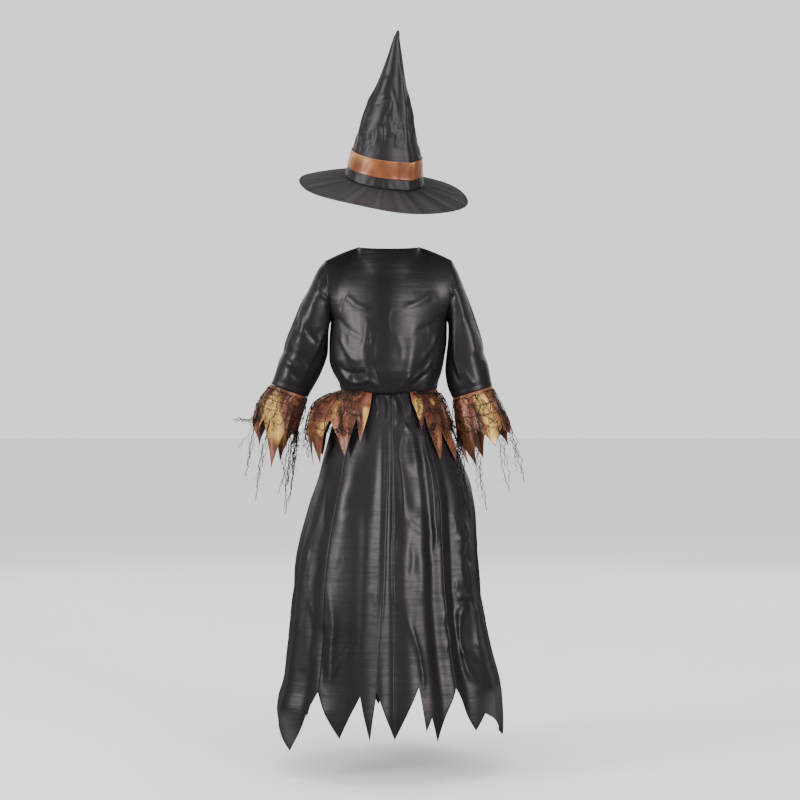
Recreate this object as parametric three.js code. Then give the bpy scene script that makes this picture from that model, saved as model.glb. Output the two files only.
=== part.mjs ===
// A child's witch costume in the form it has when worn: a black satin dress with copper trim, and the
// pointed hat of the set. Millimetres, +Z up. The front faces -Y, and +X is the left side as worn.
// The origin lies midway between the armholes, at the height of the shoulder seams.
import * as THREE from 'three';

// Cloth
const SATIN = 1.6; // wall of the black satin
const TRIM = 1.3; // wall of the copper satin
const THREAD = 0.8; // half thickness of a thread of the torn net
const SEAM = 0.3; // gap between two sewn pieces
const NET_STAND = { seam: 2.7, free: 5.5 }; // how far the net's threads run over the cloth

// Heights of the dress
const WAIST = -262; // waist seam
const UNDERARM = -125; // foot of the armhole

// Columns round the waist
const SKIRT_STEP = 3; // degrees of one skirt column
const PEPLUM_STEP = 6; // degrees of one peplum column, two skirt columns
const GATHER_DEPTH = 2.4; // how far a gather goes in under the waist
const GATHER_LENGTH = 120; // how far down a gather can be seen

// Armhole: shoulder point, underarm point and half its depth, the same on both sides
const ARMHOLE = { topX: 124, topZ: -4, footX: 116, halfDepth: 46 };

// Neck: where the shoulder seam ends, and how far the edge goes back, forward and down
const NECK = { x: 60, z: 22, back: 52, front: 60, backDip: 8, frontDip: 42 };

// Skirt sections: half widths to the left and right, half depths to the back and front
const SKIRT_ROWS = [
  { z: -262, left: 94, right: 94, back: 76, front: 76 },
  { z: -282, left: 99, right: 99, back: 85, front: 83 },
  { z: -312, left: 107, right: 109, back: 102, front: 96 },
  { z: -346, left: 117, right: 120, back: 118, front: 108 },
  { z: -406, left: 133, right: 146, back: 138, front: 126 },
  { z: -444, left: 142, right: 160, back: 149, front: 136 },
  { z: -484, left: 154, right: 168, back: 158, front: 144 },
  { z: -584, left: 181, right: 175, back: 176, front: 162 },
  { z: -684, left: 192, right: 184, back: 190, front: 178 },
  { z: -784, left: 202, right: 204, back: 202, front: 192 },
  { z: -844, left: 211, right: 222, back: 211, front: 200 },
  { z: -886, left: 223, right: 227, back: 217, front: 206 },
  { z: -970, left: 226, right: 231, back: 220, front: 210 },
];

// Points of the cut hem. Angle 0 is the centre back and 90 the left side.
const HEM = [
  { angle: -171, z: -915 },
  { angle: -162, z: -838 },
  { angle: -150, z: -936 },
  { angle: -138, z: -858 },
  { angle: -129, z: -918 },
  { angle: -117, z: -846 },
  { angle: -105, z: -930 },
  { angle: -93, z: -850 },
  { angle: -81, z: -946 },
  { angle: -54, z: -887 },
  { angle: -48, z: -918 },
  { angle: -36, z: -832 },
  { angle: -30, z: -878 },
  { angle: -24, z: -928 },
  { angle: -21, z: -882 },
  { angle: -18, z: -908 },
  { angle: -15, z: -825 },
  { angle: -3, z: -922 },
  { angle: 6, z: -832 },
  { angle: 9, z: -926 },
  { angle: 15, z: -844 },
  { angle: 24, z: -923 },
  { angle: 39, z: -840 },
  { angle: 57, z: -961 },
  { angle: 66, z: -926 },
  { angle: 90, z: -886 },
  { angle: 99, z: -876 },
  { angle: 111, z: -930 },
  { angle: 123, z: -836 },
  { angle: 132, z: -944 },
  { angle: 141, z: -876 },
  { angle: 150, z: -920 },
  { angle: 162, z: -842 },
  { angle: 174, z: -928 },
  { angle: 180, z: -868 },
];

// Folds of the skirt: out is a ridge where positive and a trough where negative. Each starts at the
// height named from, reaches its full depth at full, and has the half width spread in degrees.
const SKIRT_FOLDS = [
  { angle: 5, out: 9, spread: 4, from: -268, full: -470 },
  { angle: 12, out: -12, spread: 6, from: -290, full: -560 },
  { angle: -1, out: -7, spread: 4, from: -280, full: -500 },
  { angle: 34, out: 9, spread: 13, from: -300, full: -480 },
  { angle: 50, out: -6, spread: 8, from: -420, full: -760 },
  { angle: 64, out: 8, spread: 11, from: -380, full: -800 },
  { angle: -13, out: 8, spread: 8, from: -330, full: -600 },
  { angle: -22, out: 4, spread: 4, from: -275, full: -420 },
  { angle: -28, out: -8, spread: 5, from: -300, full: -520 },
  { angle: -35, out: 7, spread: 4, from: -275, full: -460 },
  { angle: -44, out: -9, spread: 6, from: -300, full: -620 },
  { angle: -60, out: 8, spread: 10, from: -420, full: -740 },
  { angle: -76, out: -5, spread: 6, from: -480, full: -800 },
  { angle: -106, out: 8, spread: 9, from: -300, full: -640 },
  { angle: -120, out: -9, spread: 7, from: -290, full: -560 },
  { angle: -134, out: 8, spread: 8, from: -300, full: -600 },
  { angle: -149, out: -9, spread: 7, from: -280, full: -520 },
  { angle: -163, out: 8, spread: 8, from: -300, full: -620 },
  { angle: 180, out: -10, spread: 7, from: -280, full: -560 },
  { angle: 165, out: 7, spread: 7, from: -300, full: -600 },
  { angle: 152, out: -8, spread: 6, from: -290, full: -540 },
  { angle: 136, out: 9, spread: 9, from: -300, full: -620 },
  { angle: 118, out: -9, spread: 7, from: -300, full: -560 },
  { angle: 103, out: 7, spread: 8, from: -340, full: -700 },
];

// Gores of the skirt, from seam to seam
const GORES = [
  { name: 'skirt_back_left', from: -3, to: 39 },
  { name: 'skirt_side_back_left', from: 39, to: 90 },
  { name: 'skirt_side_front_left', from: 90, to: 141 },
  { name: 'skirt_front_left', from: 141, to: 180 },
  { name: 'skirt_front_right', from: 180, to: 222 },
  { name: 'skirt_side_front_right', from: 222, to: 267 },
  { name: 'skirt_side_back_right', from: 267, to: 324 },
  { name: 'skirt_back_right', from: 324, to: 357 },
];

// Bodice sections up to the underarm, bloused over the waist
const BODICE_ROWS = [
  { z: -262, left: 94, right: 94, back: 76, front: 76 },
  { z: -260.5, left: 97, right: 96, back: 88, front: 84 },
  { z: -247, left: 101, right: 98.5, back: 99, front: 92 },
  { z: -228, left: 112, right: 105, back: 104, front: 96 },
  { z: -204, left: 119.5, right: 110, back: 104, front: 96 },
  { z: -165, left: 119.2, right: 115.4, back: 98, front: 92 },
  { z: -125, left: 116, right: 116, back: 93, front: 88 },
];

// Folds that sweep over the bodice from the underarms to the middle of the waist
const BODICE_FOLDS = [
  { side: 0.78, run: 0.5, out: 5, spread: 0.11 },
  { side: 0.56, run: 0.36, out: -4, spread: 0.1 },
  { side: 0.3, run: 0.2, out: 4, spread: 0.1 },
  { side: -0.3, run: -0.2, out: 4, spread: 0.1 },
  { side: -0.56, run: -0.36, out: -4, spread: 0.1 },
  { side: -0.78, run: -0.5, out: 5, spread: 0.11 },
];

// Sleeve sections from the armhole to the hem: the outer and inner edge, half the depth, and the middle's Y
const SLEEVES = {
  sleeve_left: [
    { outerX: 124, outerZ: -4, innerX: 116, innerZ: -125, depth: 46, y: 0 },
    { outerX: 142, outerZ: -24, innerX: 118.4, innerZ: -133, depth: 49, y: 0 },
    { outerX: 159, outerZ: -60, innerX: 120, innerZ: -143, depth: 50, y: 0 },
    { outerX: 174, outerZ: -92, innerX: 121, innerZ: -156, depth: 50, y: -1 },
    { outerX: 189, outerZ: -128, innerX: 121.5, innerZ: -172, depth: 49, y: -3 },
    { outerX: 203, outerZ: -162, innerX: 123, innerZ: -193, depth: 47, y: -6 },
    { outerX: 216, outerZ: -195, innerX: 135, innerZ: -227, depth: 46, y: -10 },
    { outerX: 228, outerZ: -229, innerX: 150, innerZ: -255, depth: 44, y: -13 },
    { outerX: 236, outerZ: -252, innerX: 164, innerZ: -278, depth: 42, y: -15 },
  ],
  sleeve_right: [
    { outerX: -124, outerZ: -4, innerX: -116, innerZ: -125, depth: 46, y: 0 },
    { outerX: -137, outerZ: -28, innerX: -118, innerZ: -133, depth: 49, y: 0 },
    { outerX: -151, outerZ: -64, innerX: -118.5, innerZ: -144, depth: 50, y: 1 },
    { outerX: -162, outerZ: -98, innerX: -118, innerZ: -158, depth: 50, y: 3 },
    { outerX: -173, outerZ: -132, innerX: -116.5, innerZ: -176, depth: 49, y: 6 },
    { outerX: -184, outerZ: -166, innerX: -114, innerZ: -198, depth: 47, y: 9 },
    { outerX: -193, outerZ: -200, innerX: -112, innerZ: -226, depth: 46, y: 12 },
    { outerX: -201, outerZ: -233, innerX: -117, innerZ: -258, depth: 44, y: 15 },
    { outerX: -205, outerZ: -256, innerX: -127, innerZ: -280, depth: 43, y: 17 },
  ],
};

// Cuff sections from the sleeve's hem down to the longest point
const CUFFS = {
  cuff_left: [
    { outerX: 238, outerZ: -252, innerX: 163, innerZ: -279, depth: 42, y: -15 },
    { outerX: 252, outerZ: -276, innerX: 170, innerZ: -300, depth: 45, y: -16 },
    { outerX: 264, outerZ: -302, innerX: 180, innerZ: -328, depth: 49, y: -18 },
    { outerX: 270, outerZ: -346, innerX: 190, innerZ: -368, depth: 53, y: -20 },
    { outerX: 270, outerZ: -418, innerX: 197, innerZ: -432, depth: 56, y: -22 },
  ],
  cuff_right: [
    { outerX: -205, outerZ: -256, innerX: -127, innerZ: -280, depth: 43, y: 17 },
    { outerX: -216, outerZ: -284, innerX: -130, innerZ: -304, depth: 47, y: 19 },
    { outerX: -228, outerZ: -314, innerX: -134, innerZ: -332, depth: 51, y: 21 },
    { outerX: -242, outerZ: -352, innerX: -142, innerZ: -368, depth: 56, y: 24 },
    { outerX: -256, outerZ: -420, innerX: -164, innerZ: -436, depth: 60, y: 28 },
  ],
};

// Cut lower edge of each cuff: how far down the bell a point or a notch reaches, as a share of its
// length. Turn 0 is the outer edge, 90 the back, 180 the inner edge and 270 the front.
const CUFF_EDGES = {
  cuff_left: [
    { turn: 0, reach: 0.66 },
    { turn: 30, reach: 0.84 },
    { turn: 60, reach: 0.6 },
    { turn: 90, reach: 0.98 },
    { turn: 120, reach: 0.68 },
    { turn: 135, reach: 0.84 },
    { turn: 165, reach: 0.6 },
    { turn: 195, reach: 0.8 },
    { turn: 225, reach: 0.56 },
    { turn: 255, reach: 0.94 },
    { turn: 285, reach: 0.6 },
    { turn: 330, reach: 0.86 },
    { turn: 360, reach: 0.66 },
  ],
  cuff_right: [
    { turn: 0, reach: 0.58 },
    { turn: 15, reach: 0.74 },
    { turn: 45, reach: 0.62 },
    { turn: 75, reach: 0.82 },
    { turn: 105, reach: 0.62 },
    { turn: 135, reach: 1 },
    { turn: 165, reach: 0.76 },
    { turn: 195, reach: 0.92 },
    { turn: 225, reach: 0.58 },
    { turn: 255, reach: 0.9 },
    { turn: 285, reach: 0.6 },
    { turn: 330, reach: 0.84 },
    { turn: 360, reach: 0.58 },
  ],
};
const CUFF_FLUTES = { count: 6, depth: 4 }; // soft flutes that open out towards the edge

// Peplum: how far it stands off the skirt, by height, at the back and front and at each side
const PEPLUM_ROWS = [
  { z: -262.6, middle: 1.8, left: 1.8, right: 1.8 },
  { z: -272, middle: 7, left: 24, right: 5 },
  { z: -286, middle: 9, left: 42, right: 8 },
  { z: -306, middle: 10, left: 49, right: 8 },
  { z: -344, middle: 10, left: 46, right: 7 },
  { z: -364, middle: 9, left: 37, right: 7 },
  { z: -420, middle: 7, left: 11, right: 6 },
];

// Cut lower edge of the two copper strips
const PEPLUM_EDGES = {
  peplum_left: [
    { angle: 18, z: -300 },
    { angle: 24, z: -366 },
    { angle: 30, z: -318 },
    { angle: 36, z: -392 },
    { angle: 54, z: -322 },
    { angle: 66, z: -408 },
    { angle: 78, z: -340 },
    { angle: 90, z: -414 },
    { angle: 102, z: -352 },
    { angle: 114, z: -396 },
    { angle: 126, z: -330 },
    { angle: 138, z: -388 },
    { angle: 150, z: -324 },
    { angle: 162, z: -380 },
    { angle: 174, z: -310 },
  ],
  peplum_right: [
    { angle: -174, z: -306 },
    { angle: -162, z: -376 },
    { angle: -150, z: -320 },
    { angle: -138, z: -392 },
    { angle: -126, z: -330 },
    { angle: -114, z: -398 },
    { angle: -102, z: -336 },
    { angle: -90, z: -400 },
    { angle: -78, z: -330 },
    { angle: -60, z: -402 },
    { angle: -54, z: -338 },
    { angle: -42, z: -400 },
    { angle: -36, z: -312 },
    { angle: -30, z: -340 },
    { angle: -24, z: -290 },
  ],
};

// Hat: the crown's sections up its axis, where side moves the middle to the left
const CROWN_ROWS = [
  { up: 1.4, radius: 79, side: 0 },
  { up: 21, radius: 74, side: 1 },
  { up: 56, radius: 68, side: 1.5 },
  { up: 85, radius: 59.5, side: 4.5 },
  { up: 118, radius: 50.5, side: 7 },
  { up: 150, radius: 41.5, side: 7 },
  { up: 198, radius: 26.5, side: 8.5 },
  { up: 249, radius: 14, side: 10 },
  { up: 282, radius: 6.5, side: 11.5 },
  { up: 297, radius: 2.6, side: 10.5 },
];
const CROWN_CORNERS = [
  { angle: -40, out: 5, spread: 15 },
  { angle: 96, out: 3, spread: 17 },
  { angle: 180, out: -2, spread: 25 },
];
const BRIM = { inner: 76, outer: 171, droop: 19.5, wave: 2.6, wall: 2, rim: 3 };
const BAND = { foot: 21.5, height: 34, wall: 1.2, gap: 0.5 };
const HAT = { x: 8, y: -4, z: 155, pitch: 20, roll: 7.5 };

const radians = THREE.MathUtils.degToRad;

// Soft step from 0 to 1
function ease(t) {
  const s = THREE.MathUtils.clamp(t, 0, 1);
  return s * s * (3 - 2 * s);
}

// Soft bump of height 1 and half width 1
function bump(t) {
  return Math.exp(-t * t * 2);
}

// Every column of a table at one place along its key column, on a smooth curve through the rows
function along(rows, key, at) {
  const down = rows[0][key] > rows[rows.length - 1][key];
  let i = 0;
  while (i < rows.length - 2 && (down ? at < rows[i + 1][key] : at > rows[i + 1][key])) i += 1;
  const a = rows[i];
  const b = rows[i + 1];
  const before = rows[Math.max(i - 1, 0)];
  const after = rows[Math.min(i + 2, rows.length - 1)];
  const span = b[key] - a[key];
  const t = (at - a[key]) / span;
  const found = { [key]: at };
  for (const column of Object.keys(a)) {
    if (column === key) continue;
    const slopeA = ((b[column] - before[column]) / (b[key] - before[key])) * span;
    const slopeB = ((after[column] - a[column]) / (after[key] - a[key])) * span;
    const rise = b[column] - a[column];
    const limit = 3 * Math.abs(rise);
    const start = slopeA * rise > 0 ? Math.sign(slopeA) * Math.min(Math.abs(slopeA), limit) : 0;
    const end = slopeB * rise > 0 ? Math.sign(slopeB) * Math.min(Math.abs(slopeB), limit) : 0;
    const t2 = t * t;
    const t3 = t2 * t;
    found[column] = (2 * t3 - 3 * t2 + 1) * a[column] + (t3 - 2 * t2 + t) * start
      + (3 * t2 - 2 * t3) * b[column] + (t3 - t2) * end;
  }
  return found;
}

// One column of a cut edge at one place, on straight lines between its points
function cutAt(points, key, column, at) {
  let i = 0;
  while (i < points.length - 2 && at > points[i + 1][key]) i += 1;
  const a = points[i];
  const b = points[i + 1];
  const t = THREE.MathUtils.clamp((at - a[key]) / (b[key] - a[key]), 0, 1);
  return a[column] + (b[column] - a[column]) * t;
}

// Angle brought between -180 and 180
function turned(angle) {
  return ((((angle + 180) % 360) + 360) % 360) - 180;
}

// A rounded section of the dress: angle 0 is the centre back, 90 the left side
function onSection(angle, row) {
  const s = Math.sin(radians(angle));
  const c = Math.cos(radians(angle));
  return new THREE.Vector3((s > 0 ? row.left : row.right) * s, (c > 0 ? row.back : row.front) * c, row.z);
}

// A point moved away from the upright axis of the dress
function movedOut(point, distance) {
  const radius = Math.hypot(point.x, point.y);
  point.x *= 1 + distance / radius;
  point.y *= 1 + distance / radius;
  return point;
}

// Evenly spaced numbers from a to b
function steps(a, b, count) {
  return Array.from({ length: count + 1 }, (_, i) => a + ((b - a) * i) / count);
}

// A closed wall of cloth. surface(u, v) gives its outer face, seen from inside(u, v) as the hollow side,
// over the columns us and the rows vs. edgeNormal may give a seam its own direction of thickness.
function clothWall({ surface, inside, us, vs, wall, wrapped = false, edgeNormal = () => null }) {
  const delta = 1e-3;
  const columns = us.length - (wrapped ? 1 : 0);
  const outer = [];
  const inner = [];
  const reach = us[us.length - 1] - us[0];
  for (const v of vs) {
    for (let i = 0; i < columns; i += 1) {
      const u = us[i];
      const point = surface(u, v);
      const du = surface(u + delta * reach, v).sub(surface(u - delta * reach, v));
      const dv = surface(u, v + delta).sub(surface(u, v - delta));
      const normal = du.cross(dv).normalize();
      if (normal.dot(point.clone().sub(inside(u, v))) < 0) normal.negate();
      const seam = edgeNormal(u, v, point);
      const away = (seam || normal).clone();
      outer.push(point);
      inner.push(point.clone().addScaledVector(away, -(typeof wall === 'function' ? wall(u, v) : wall)));
    }
  }
  const total = outer.length;
  const faces = [];
  const at = (row, column) => row * columns + (wrapped ? column % columns : column);
  const quad = (a, b, c, d) => faces.push(a, b, c, a, c, d);
  const last = wrapped ? columns : columns - 1;
  const rows = vs.length - 1;
  for (let row = 0; row < rows; row += 1) {
    for (let column = 0; column < last; column += 1) {
      const a = at(row, column);
      const b = at(row, column + 1);
      const c = at(row + 1, column + 1);
      const d = at(row + 1, column);
      quad(a, b, c, d);
      quad(total + d, total + c, total + b, total + a);
    }
  }
  for (let column = 0; column < last; column += 1) {
    quad(at(0, column), total + at(0, column), total + at(0, column + 1), at(0, column + 1));
    quad(at(rows, column), at(rows, column + 1), total + at(rows, column + 1), total + at(rows, column));
  }
  if (!wrapped) {
    for (let row = 0; row < rows; row += 1) {
      quad(at(row, 0), at(row + 1, 0), total + at(row + 1, 0), total + at(row, 0));
      quad(at(row, last), total + at(row, last), total + at(row + 1, last), at(row + 1, last));
    }
  }
  return facingOut(outer.concat(inner), faces);
}

// A geometry from points and triangles, turned so that its faces point out
function facingOut(points, faces) {
  let volume = 0;
  for (let i = 0; i < faces.length; i += 3) {
    const [a, b, c] = [points[faces[i]], points[faces[i + 1]], points[faces[i + 2]]];
    volume += a.dot(b.clone().cross(c)) / 6;
  }
  const index = volume > 0 ? faces : faces.slice().reverse();
  const geometry = new THREE.BufferGeometry();
  geometry.setAttribute('position', new THREE.Float32BufferAttribute(points.flatMap((p) => p.toArray()), 3));
  geometry.setIndex(index);
  return geometry;
}

// Materials of the costume
const blackSatin = () => new THREE.MeshStandardMaterial({ color: 0x17161a, roughness: 0.42 });
const copperSatin = () => new THREE.MeshStandardMaterial({ color: 0xa3603c, roughness: 0.36 });
const blackNet = () => new THREE.MeshStandardMaterial({ color: 0x0d0c0e, roughness: 0.8 });

const costume = new THREE.Group();

function addPiece(name, geometry, material, parent = costume) {
  const piece = new THREE.Mesh(geometry, material);
  piece.name = name;
  parent.add(piece);
}

// Skirt: eight gores gathered into the waist, with the folds running down to a hem cut in points
function skirtPoint(angle, z) {
  const row = along(SKIRT_ROWS, 'z', z);
  let out = 0;
  for (const fold of SKIRT_FOLDS) {
    const grown = ease((z - fold.from) / (fold.full - fold.from));
    out += fold.out * grown * bump(turned(angle - fold.angle) / fold.spread);
  }
  const place = Math.abs((((angle / SKIRT_STEP) % 2) + 2) % 2 - 1);
  const fading = ease(1 - (WAIST - z) / GATHER_LENGTH);
  out -= GATHER_DEPTH * (1 - place) * fading;
  return movedOut(onSection(angle, row), out);
}

const WHOLE_HEM = [{ angle: -180, z: HEM[HEM.length - 1].z }, ...HEM];

function hemAt(angle) {
  return cutAt(WHOLE_HEM, 'angle', 'z', turned(angle));
}

for (const gore of GORES) {
  const columns = (gore.to - gore.from) / SKIRT_STEP;
  const us = steps(gore.from, gore.to, columns);
  const middle = (gore.from + gore.to) / 2;
  const surface = (angle, v) => {
    const z = WAIST - SEAM + (hemAt(angle) - WAIST + SEAM) * v;
    const point = skirtPoint(angle, z);
    const tangent = new THREE.Vector3(Math.cos(radians(angle)), -Math.sin(radians(angle)), 0);
    const side = THREE.MathUtils.clamp((middle - angle) / ((gore.to - gore.from) / 2), -1, 1);
    return point.addScaledVector(tangent, side * SEAM / 2);
  };
  const vs = [0, 0.035, 0.08, 0.16, 0.28, 0.42, 0.57, 0.72, 0.87, 1];
  const inside = (angle, v) => new THREE.Vector3(0, 0, surface(angle, v).z);
  addPiece(gore.name, clothWall({ surface, inside, us, vs, wall: SATIN }), blackSatin());
}

// Armhole: turn 0 is the shoulder point, 180 the underarm; left is 1 or -1, and back is 1 or -1
const armhole = {
  x: (ARMHOLE.topX + ARMHOLE.footX) / 2,
  z: (ARMHOLE.topZ + UNDERARM) / 2,
  halfX: (ARMHOLE.topX - ARMHOLE.footX) / 2,
  halfZ: (ARMHOLE.topZ - UNDERARM) / 2,
};

function armholePoint(turn, left, back) {
  const c = Math.cos(radians(turn));
  const s = Math.sin(radians(turn));
  const x = left * (armhole.x + armhole.halfX * c);
  return new THREE.Vector3(x, back * ARMHOLE.halfDepth * s, armhole.z + armhole.halfZ * c);
}

function armholeNormal(turn, left, back) {
  const c = Math.cos(radians(turn));
  const s = Math.sin(radians(turn));
  return new THREE.Vector3(left * 0.07 * c, back * s, c).normalize();
}

// Bodice: one piece for the back and one for the front, from the waist to the shoulder seams
const ARM_ROW = 0.56; // share of the rows that lie under the armhole
const NECK_SHARE = 0.46; // share of the top edge that is the neck
const ARMHOLE_PULL = 3; // how fast the armhole's curve dies away towards the middle

function bodiceTop(s, back) {
  const size = Math.abs(s);
  if (size >= NECK_SHARE) {
    const t = (size - NECK_SHARE) / (1 - NECK_SHARE);
    const x = NECK.x + (ARMHOLE.topX - NECK.x) * t;
    const z = NECK.z + (ARMHOLE.topZ - NECK.z) * (0.75 * t + 0.25 * t * t);
    return new THREE.Vector3(Math.sign(s) * x, 0, z);
  }
  const turn = (s / NECK_SHARE) * (Math.PI / 2);
  const depth = back > 0 ? NECK.back : -NECK.front;
  const dip = back > 0 ? NECK.backDip : NECK.frontDip;
  return new THREE.Vector3(NECK.x * Math.sin(turn), depth * Math.cos(turn), NECK.z - dip * Math.cos(turn));
}

function bodicePoint(s, v, back) {
  const angle = back > 0 ? 90 * s : 180 - 90 * s;
  let point;
  if (v <= ARM_ROW) {
    const place = (v / ARM_ROW) * (BODICE_ROWS.length - 1);
    const i = THREE.MathUtils.clamp(Math.floor(place), 0, BODICE_ROWS.length - 2);
    const t = place - i;
    const z = BODICE_ROWS[i].z + (BODICE_ROWS[i + 1].z - BODICE_ROWS[i].z) * t;
    point = onSection(angle, along(BODICE_ROWS, 'z', z));
  } else {
    const t = (v - ARM_ROW) / (1 - ARM_ROW);
    const foot = onSection(angle, BODICE_ROWS[BODICE_ROWS.length - 1]);
    const top = bodiceTop(s, back);
    const turn = 180 * (1 - THREE.MathUtils.clamp(t, 0, 1));
    point = foot.multiplyScalar(1 - t).addScaledVector(top, t);
    for (const left of [1, -1]) {
      const weight = ((1 + left * s) / 2) ** ARMHOLE_PULL;
      point.addScaledVector(armholePoint(turn, left, back), weight);
      point.addScaledVector(armholePoint(180, left, back), -weight * (1 - t));
      point.addScaledVector(armholePoint(0, left, back), -weight * t);
    }
  }
  const reach = THREE.MathUtils.clamp(v / ARM_ROW, 0, 1.2);
  const fade = ease(v / 0.12) * ease((1.1 - reach) / 0.5) * (1 - s * s);
  for (const fold of BODICE_FOLDS) {
    const middle = fold.run + (fold.side - fold.run) * reach;
    const out = fold.out * bump((s - middle) / fold.spread) * fade;
    point.y += back * out;
  }
  point.y += back * SEAM / 2;
  return point;
}

for (const [name, back] of [['bodice_back', 1], ['bodice_front', -1]]) {
  const us = steps(-1, 1, 20);
  const vs = [0, 0.093, 0.187, 0.28, 0.373, 0.467, ARM_ROW, 0.67, 0.78, 0.89, 1];
  const surface = (s, v) => bodicePoint(s, v, back);
  const inside = (s, v) => {
    const z = surface(s, v).z;
    return new THREE.Vector3(surface(s, v).x * 0.4, 0, Math.min(z, -60));
  };
  const edgeNormal = (s, v) => {
    const side = Math.sign(s);
    if (v >= 1 && Math.abs(s) > NECK_SHARE - 0.01) return new THREE.Vector3(side * 0.3, 0, 1).normalize();
    if (Math.abs(s) < 1 || v < ARM_ROW) return null;
    return armholeNormal(180 * (1 - (v - ARM_ROW) / (1 - ARM_ROW)), side, back);
  };
  addPiece(name, clothWall({ surface, inside, us, vs, wall: SATIN, edgeNormal }), blackSatin());
}

// A tube of cloth through sections given by their outer and inner edges. Turn 0 is the outer edge, 90 the
// back and 180 the inner edge. place runs from 0 to 1 over the rows of the table.
function tubePoint(rows, turn, place, out = 0) {
  const numbered = rows.map((row, i) => ({ ...row, place: i / (rows.length - 1) }));
  const row = along(numbered, 'place', place);
  const middle = new THREE.Vector3((row.outerX + row.innerX) / 2, row.y, (row.outerZ + row.innerZ) / 2);
  const half = new THREE.Vector3((row.outerX - row.innerX) / 2, 0, (row.outerZ - row.innerZ) / 2);
  const across = half.clone().setLength(half.length() + out);
  const point = middle.clone().addScaledVector(across, Math.cos(radians(turn)));
  point.y += (row.depth + out) * Math.sin(radians(turn));
  return { point, middle };
}

// Sleeves: three-quarter length, set into the armholes, each with a ridge down its back and a soft elbow
const SLEEVE_RIDGE = { turn: 70, out: 3, spread: 26 };
const ELBOW = { place: 0.72, out: -3.5, spread: 0.07 };

for (const [name, rows] of Object.entries(SLEEVES)) {
  const left = Math.sign(rows[0].outerX);
  const surface = (turn, v) => {
    const ridge = SLEEVE_RIDGE.out * bump(turned(turn - SLEEVE_RIDGE.turn) / SLEEVE_RIDGE.spread);
    const elbow = ELBOW.out * bump((v - ELBOW.place) / ELBOW.spread) * Math.cos(radians(turn / 2)) ** 2;
    const { point } = tubePoint(rows, turn, v, (ridge + elbow) * ease(v / 0.3) * ease((1 - v) / 0.12));
    point.x += left * SEAM * (1 - v);
    return point;
  };
  const inside = (turn, v) => tubePoint(rows, turn, v).middle;
  const edgeNormal = (turn, v) => (v > 0 ? null : armholeNormal(turn, left, 1));
  const us = steps(0, 360, 18);
  const vs = [0, 0.09, 0.19, 0.3, 0.42, 0.54, 0.66, 0.73, 0.8, 0.9, 1];
  const wall = clothWall({ surface, inside, us, vs, wall: SATIN, wrapped: true, edgeNormal });
  addPiece(name, wall, blackSatin());
}

// Cuffs: copper bells sewn to the sleeves' hems, fluted, with an edge cut in points
function cuffPoint(name, turn, reach, out = 0) {
  const flute = CUFF_FLUTES.depth * Math.cos(radians(CUFF_FLUTES.count * turn)) * ease(reach / 0.9);
  return tubePoint(CUFFS[name], turn, reach, flute + out).point;
}

const CUFF_GAP = 0.004; // share of the cuff's length left free under the sleeve

for (const name of Object.keys(CUFFS)) {
  const edge = (turn) => cutAt(CUFF_EDGES[name], 'turn', 'reach', ((turn % 360) + 360) % 360);
  const surface = (turn, v) => cuffPoint(name, turn, CUFF_GAP + (edge(turn) - CUFF_GAP) * v);
  const inside = (turn, v) => tubePoint(CUFFS[name], turn, edge(turn) * v).middle;
  const us = steps(0, 360, 24);
  const vs = [0, 0.25, 0.5, 0.75, 1];
  addPiece(name, clothWall({ surface, inside, us, vs, wall: TRIM, wrapped: true }), copperSatin());
}

// Peplum: two strips of long points sewn in at the waist, over the skirt and open at the centre back
function peplumPoint(angle, z, out = 0) {
  const row = along(PEPLUM_ROWS, 'z', z);
  const side = Math.sin(radians(angle));
  const share = Math.abs(side) ** 3;
  const stand = row.middle + ((side > 0 ? row.left : row.right) - row.middle) * share;
  return movedOut(skirtPoint(angle, z), stand + out);
}

for (const [name, points] of Object.entries(PEPLUM_EDGES)) {
  const from = points[0].angle;
  const to = points[points.length - 1].angle;
  const top = PEPLUM_ROWS[0].z;
  const surface = (angle, v) => peplumPoint(angle, top + (cutAt(points, 'angle', 'z', angle) - top) * v);
  const inside = (angle, v) => new THREE.Vector3(0, 0, surface(angle, v).z);
  const us = steps(from, to, (to - from) / PEPLUM_STEP);
  const vs = [0, 0.1, 0.28, 0.6, 1];
  addPiece(name, clothWall({ surface, inside, us, vs, wall: TRIM }), copperSatin());
}

// Torn net: falls of thread run down from the seam and are tied across. knots[i][j] is the knot of fall i
// in row j, and tied(i, j) says if it is tied to fall i + 1. A knot is a small block, and a thread joins
// the facing sides of two blocks, so the net is one body with its gaps open.
const LOOPS = {
  across: [[1, 0, 0], [1, 1, 0], [1, 1, 1], [1, 0, 1]],
  down: [[0, 1, 0], [0, 1, 1], [1, 1, 1], [1, 1, 0]],
  out: [[0, 0, 1], [1, 0, 1], [1, 1, 1], [0, 1, 1]],
};
const LOOP_AXIS = { across: 0, down: 1, out: 2 };

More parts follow.
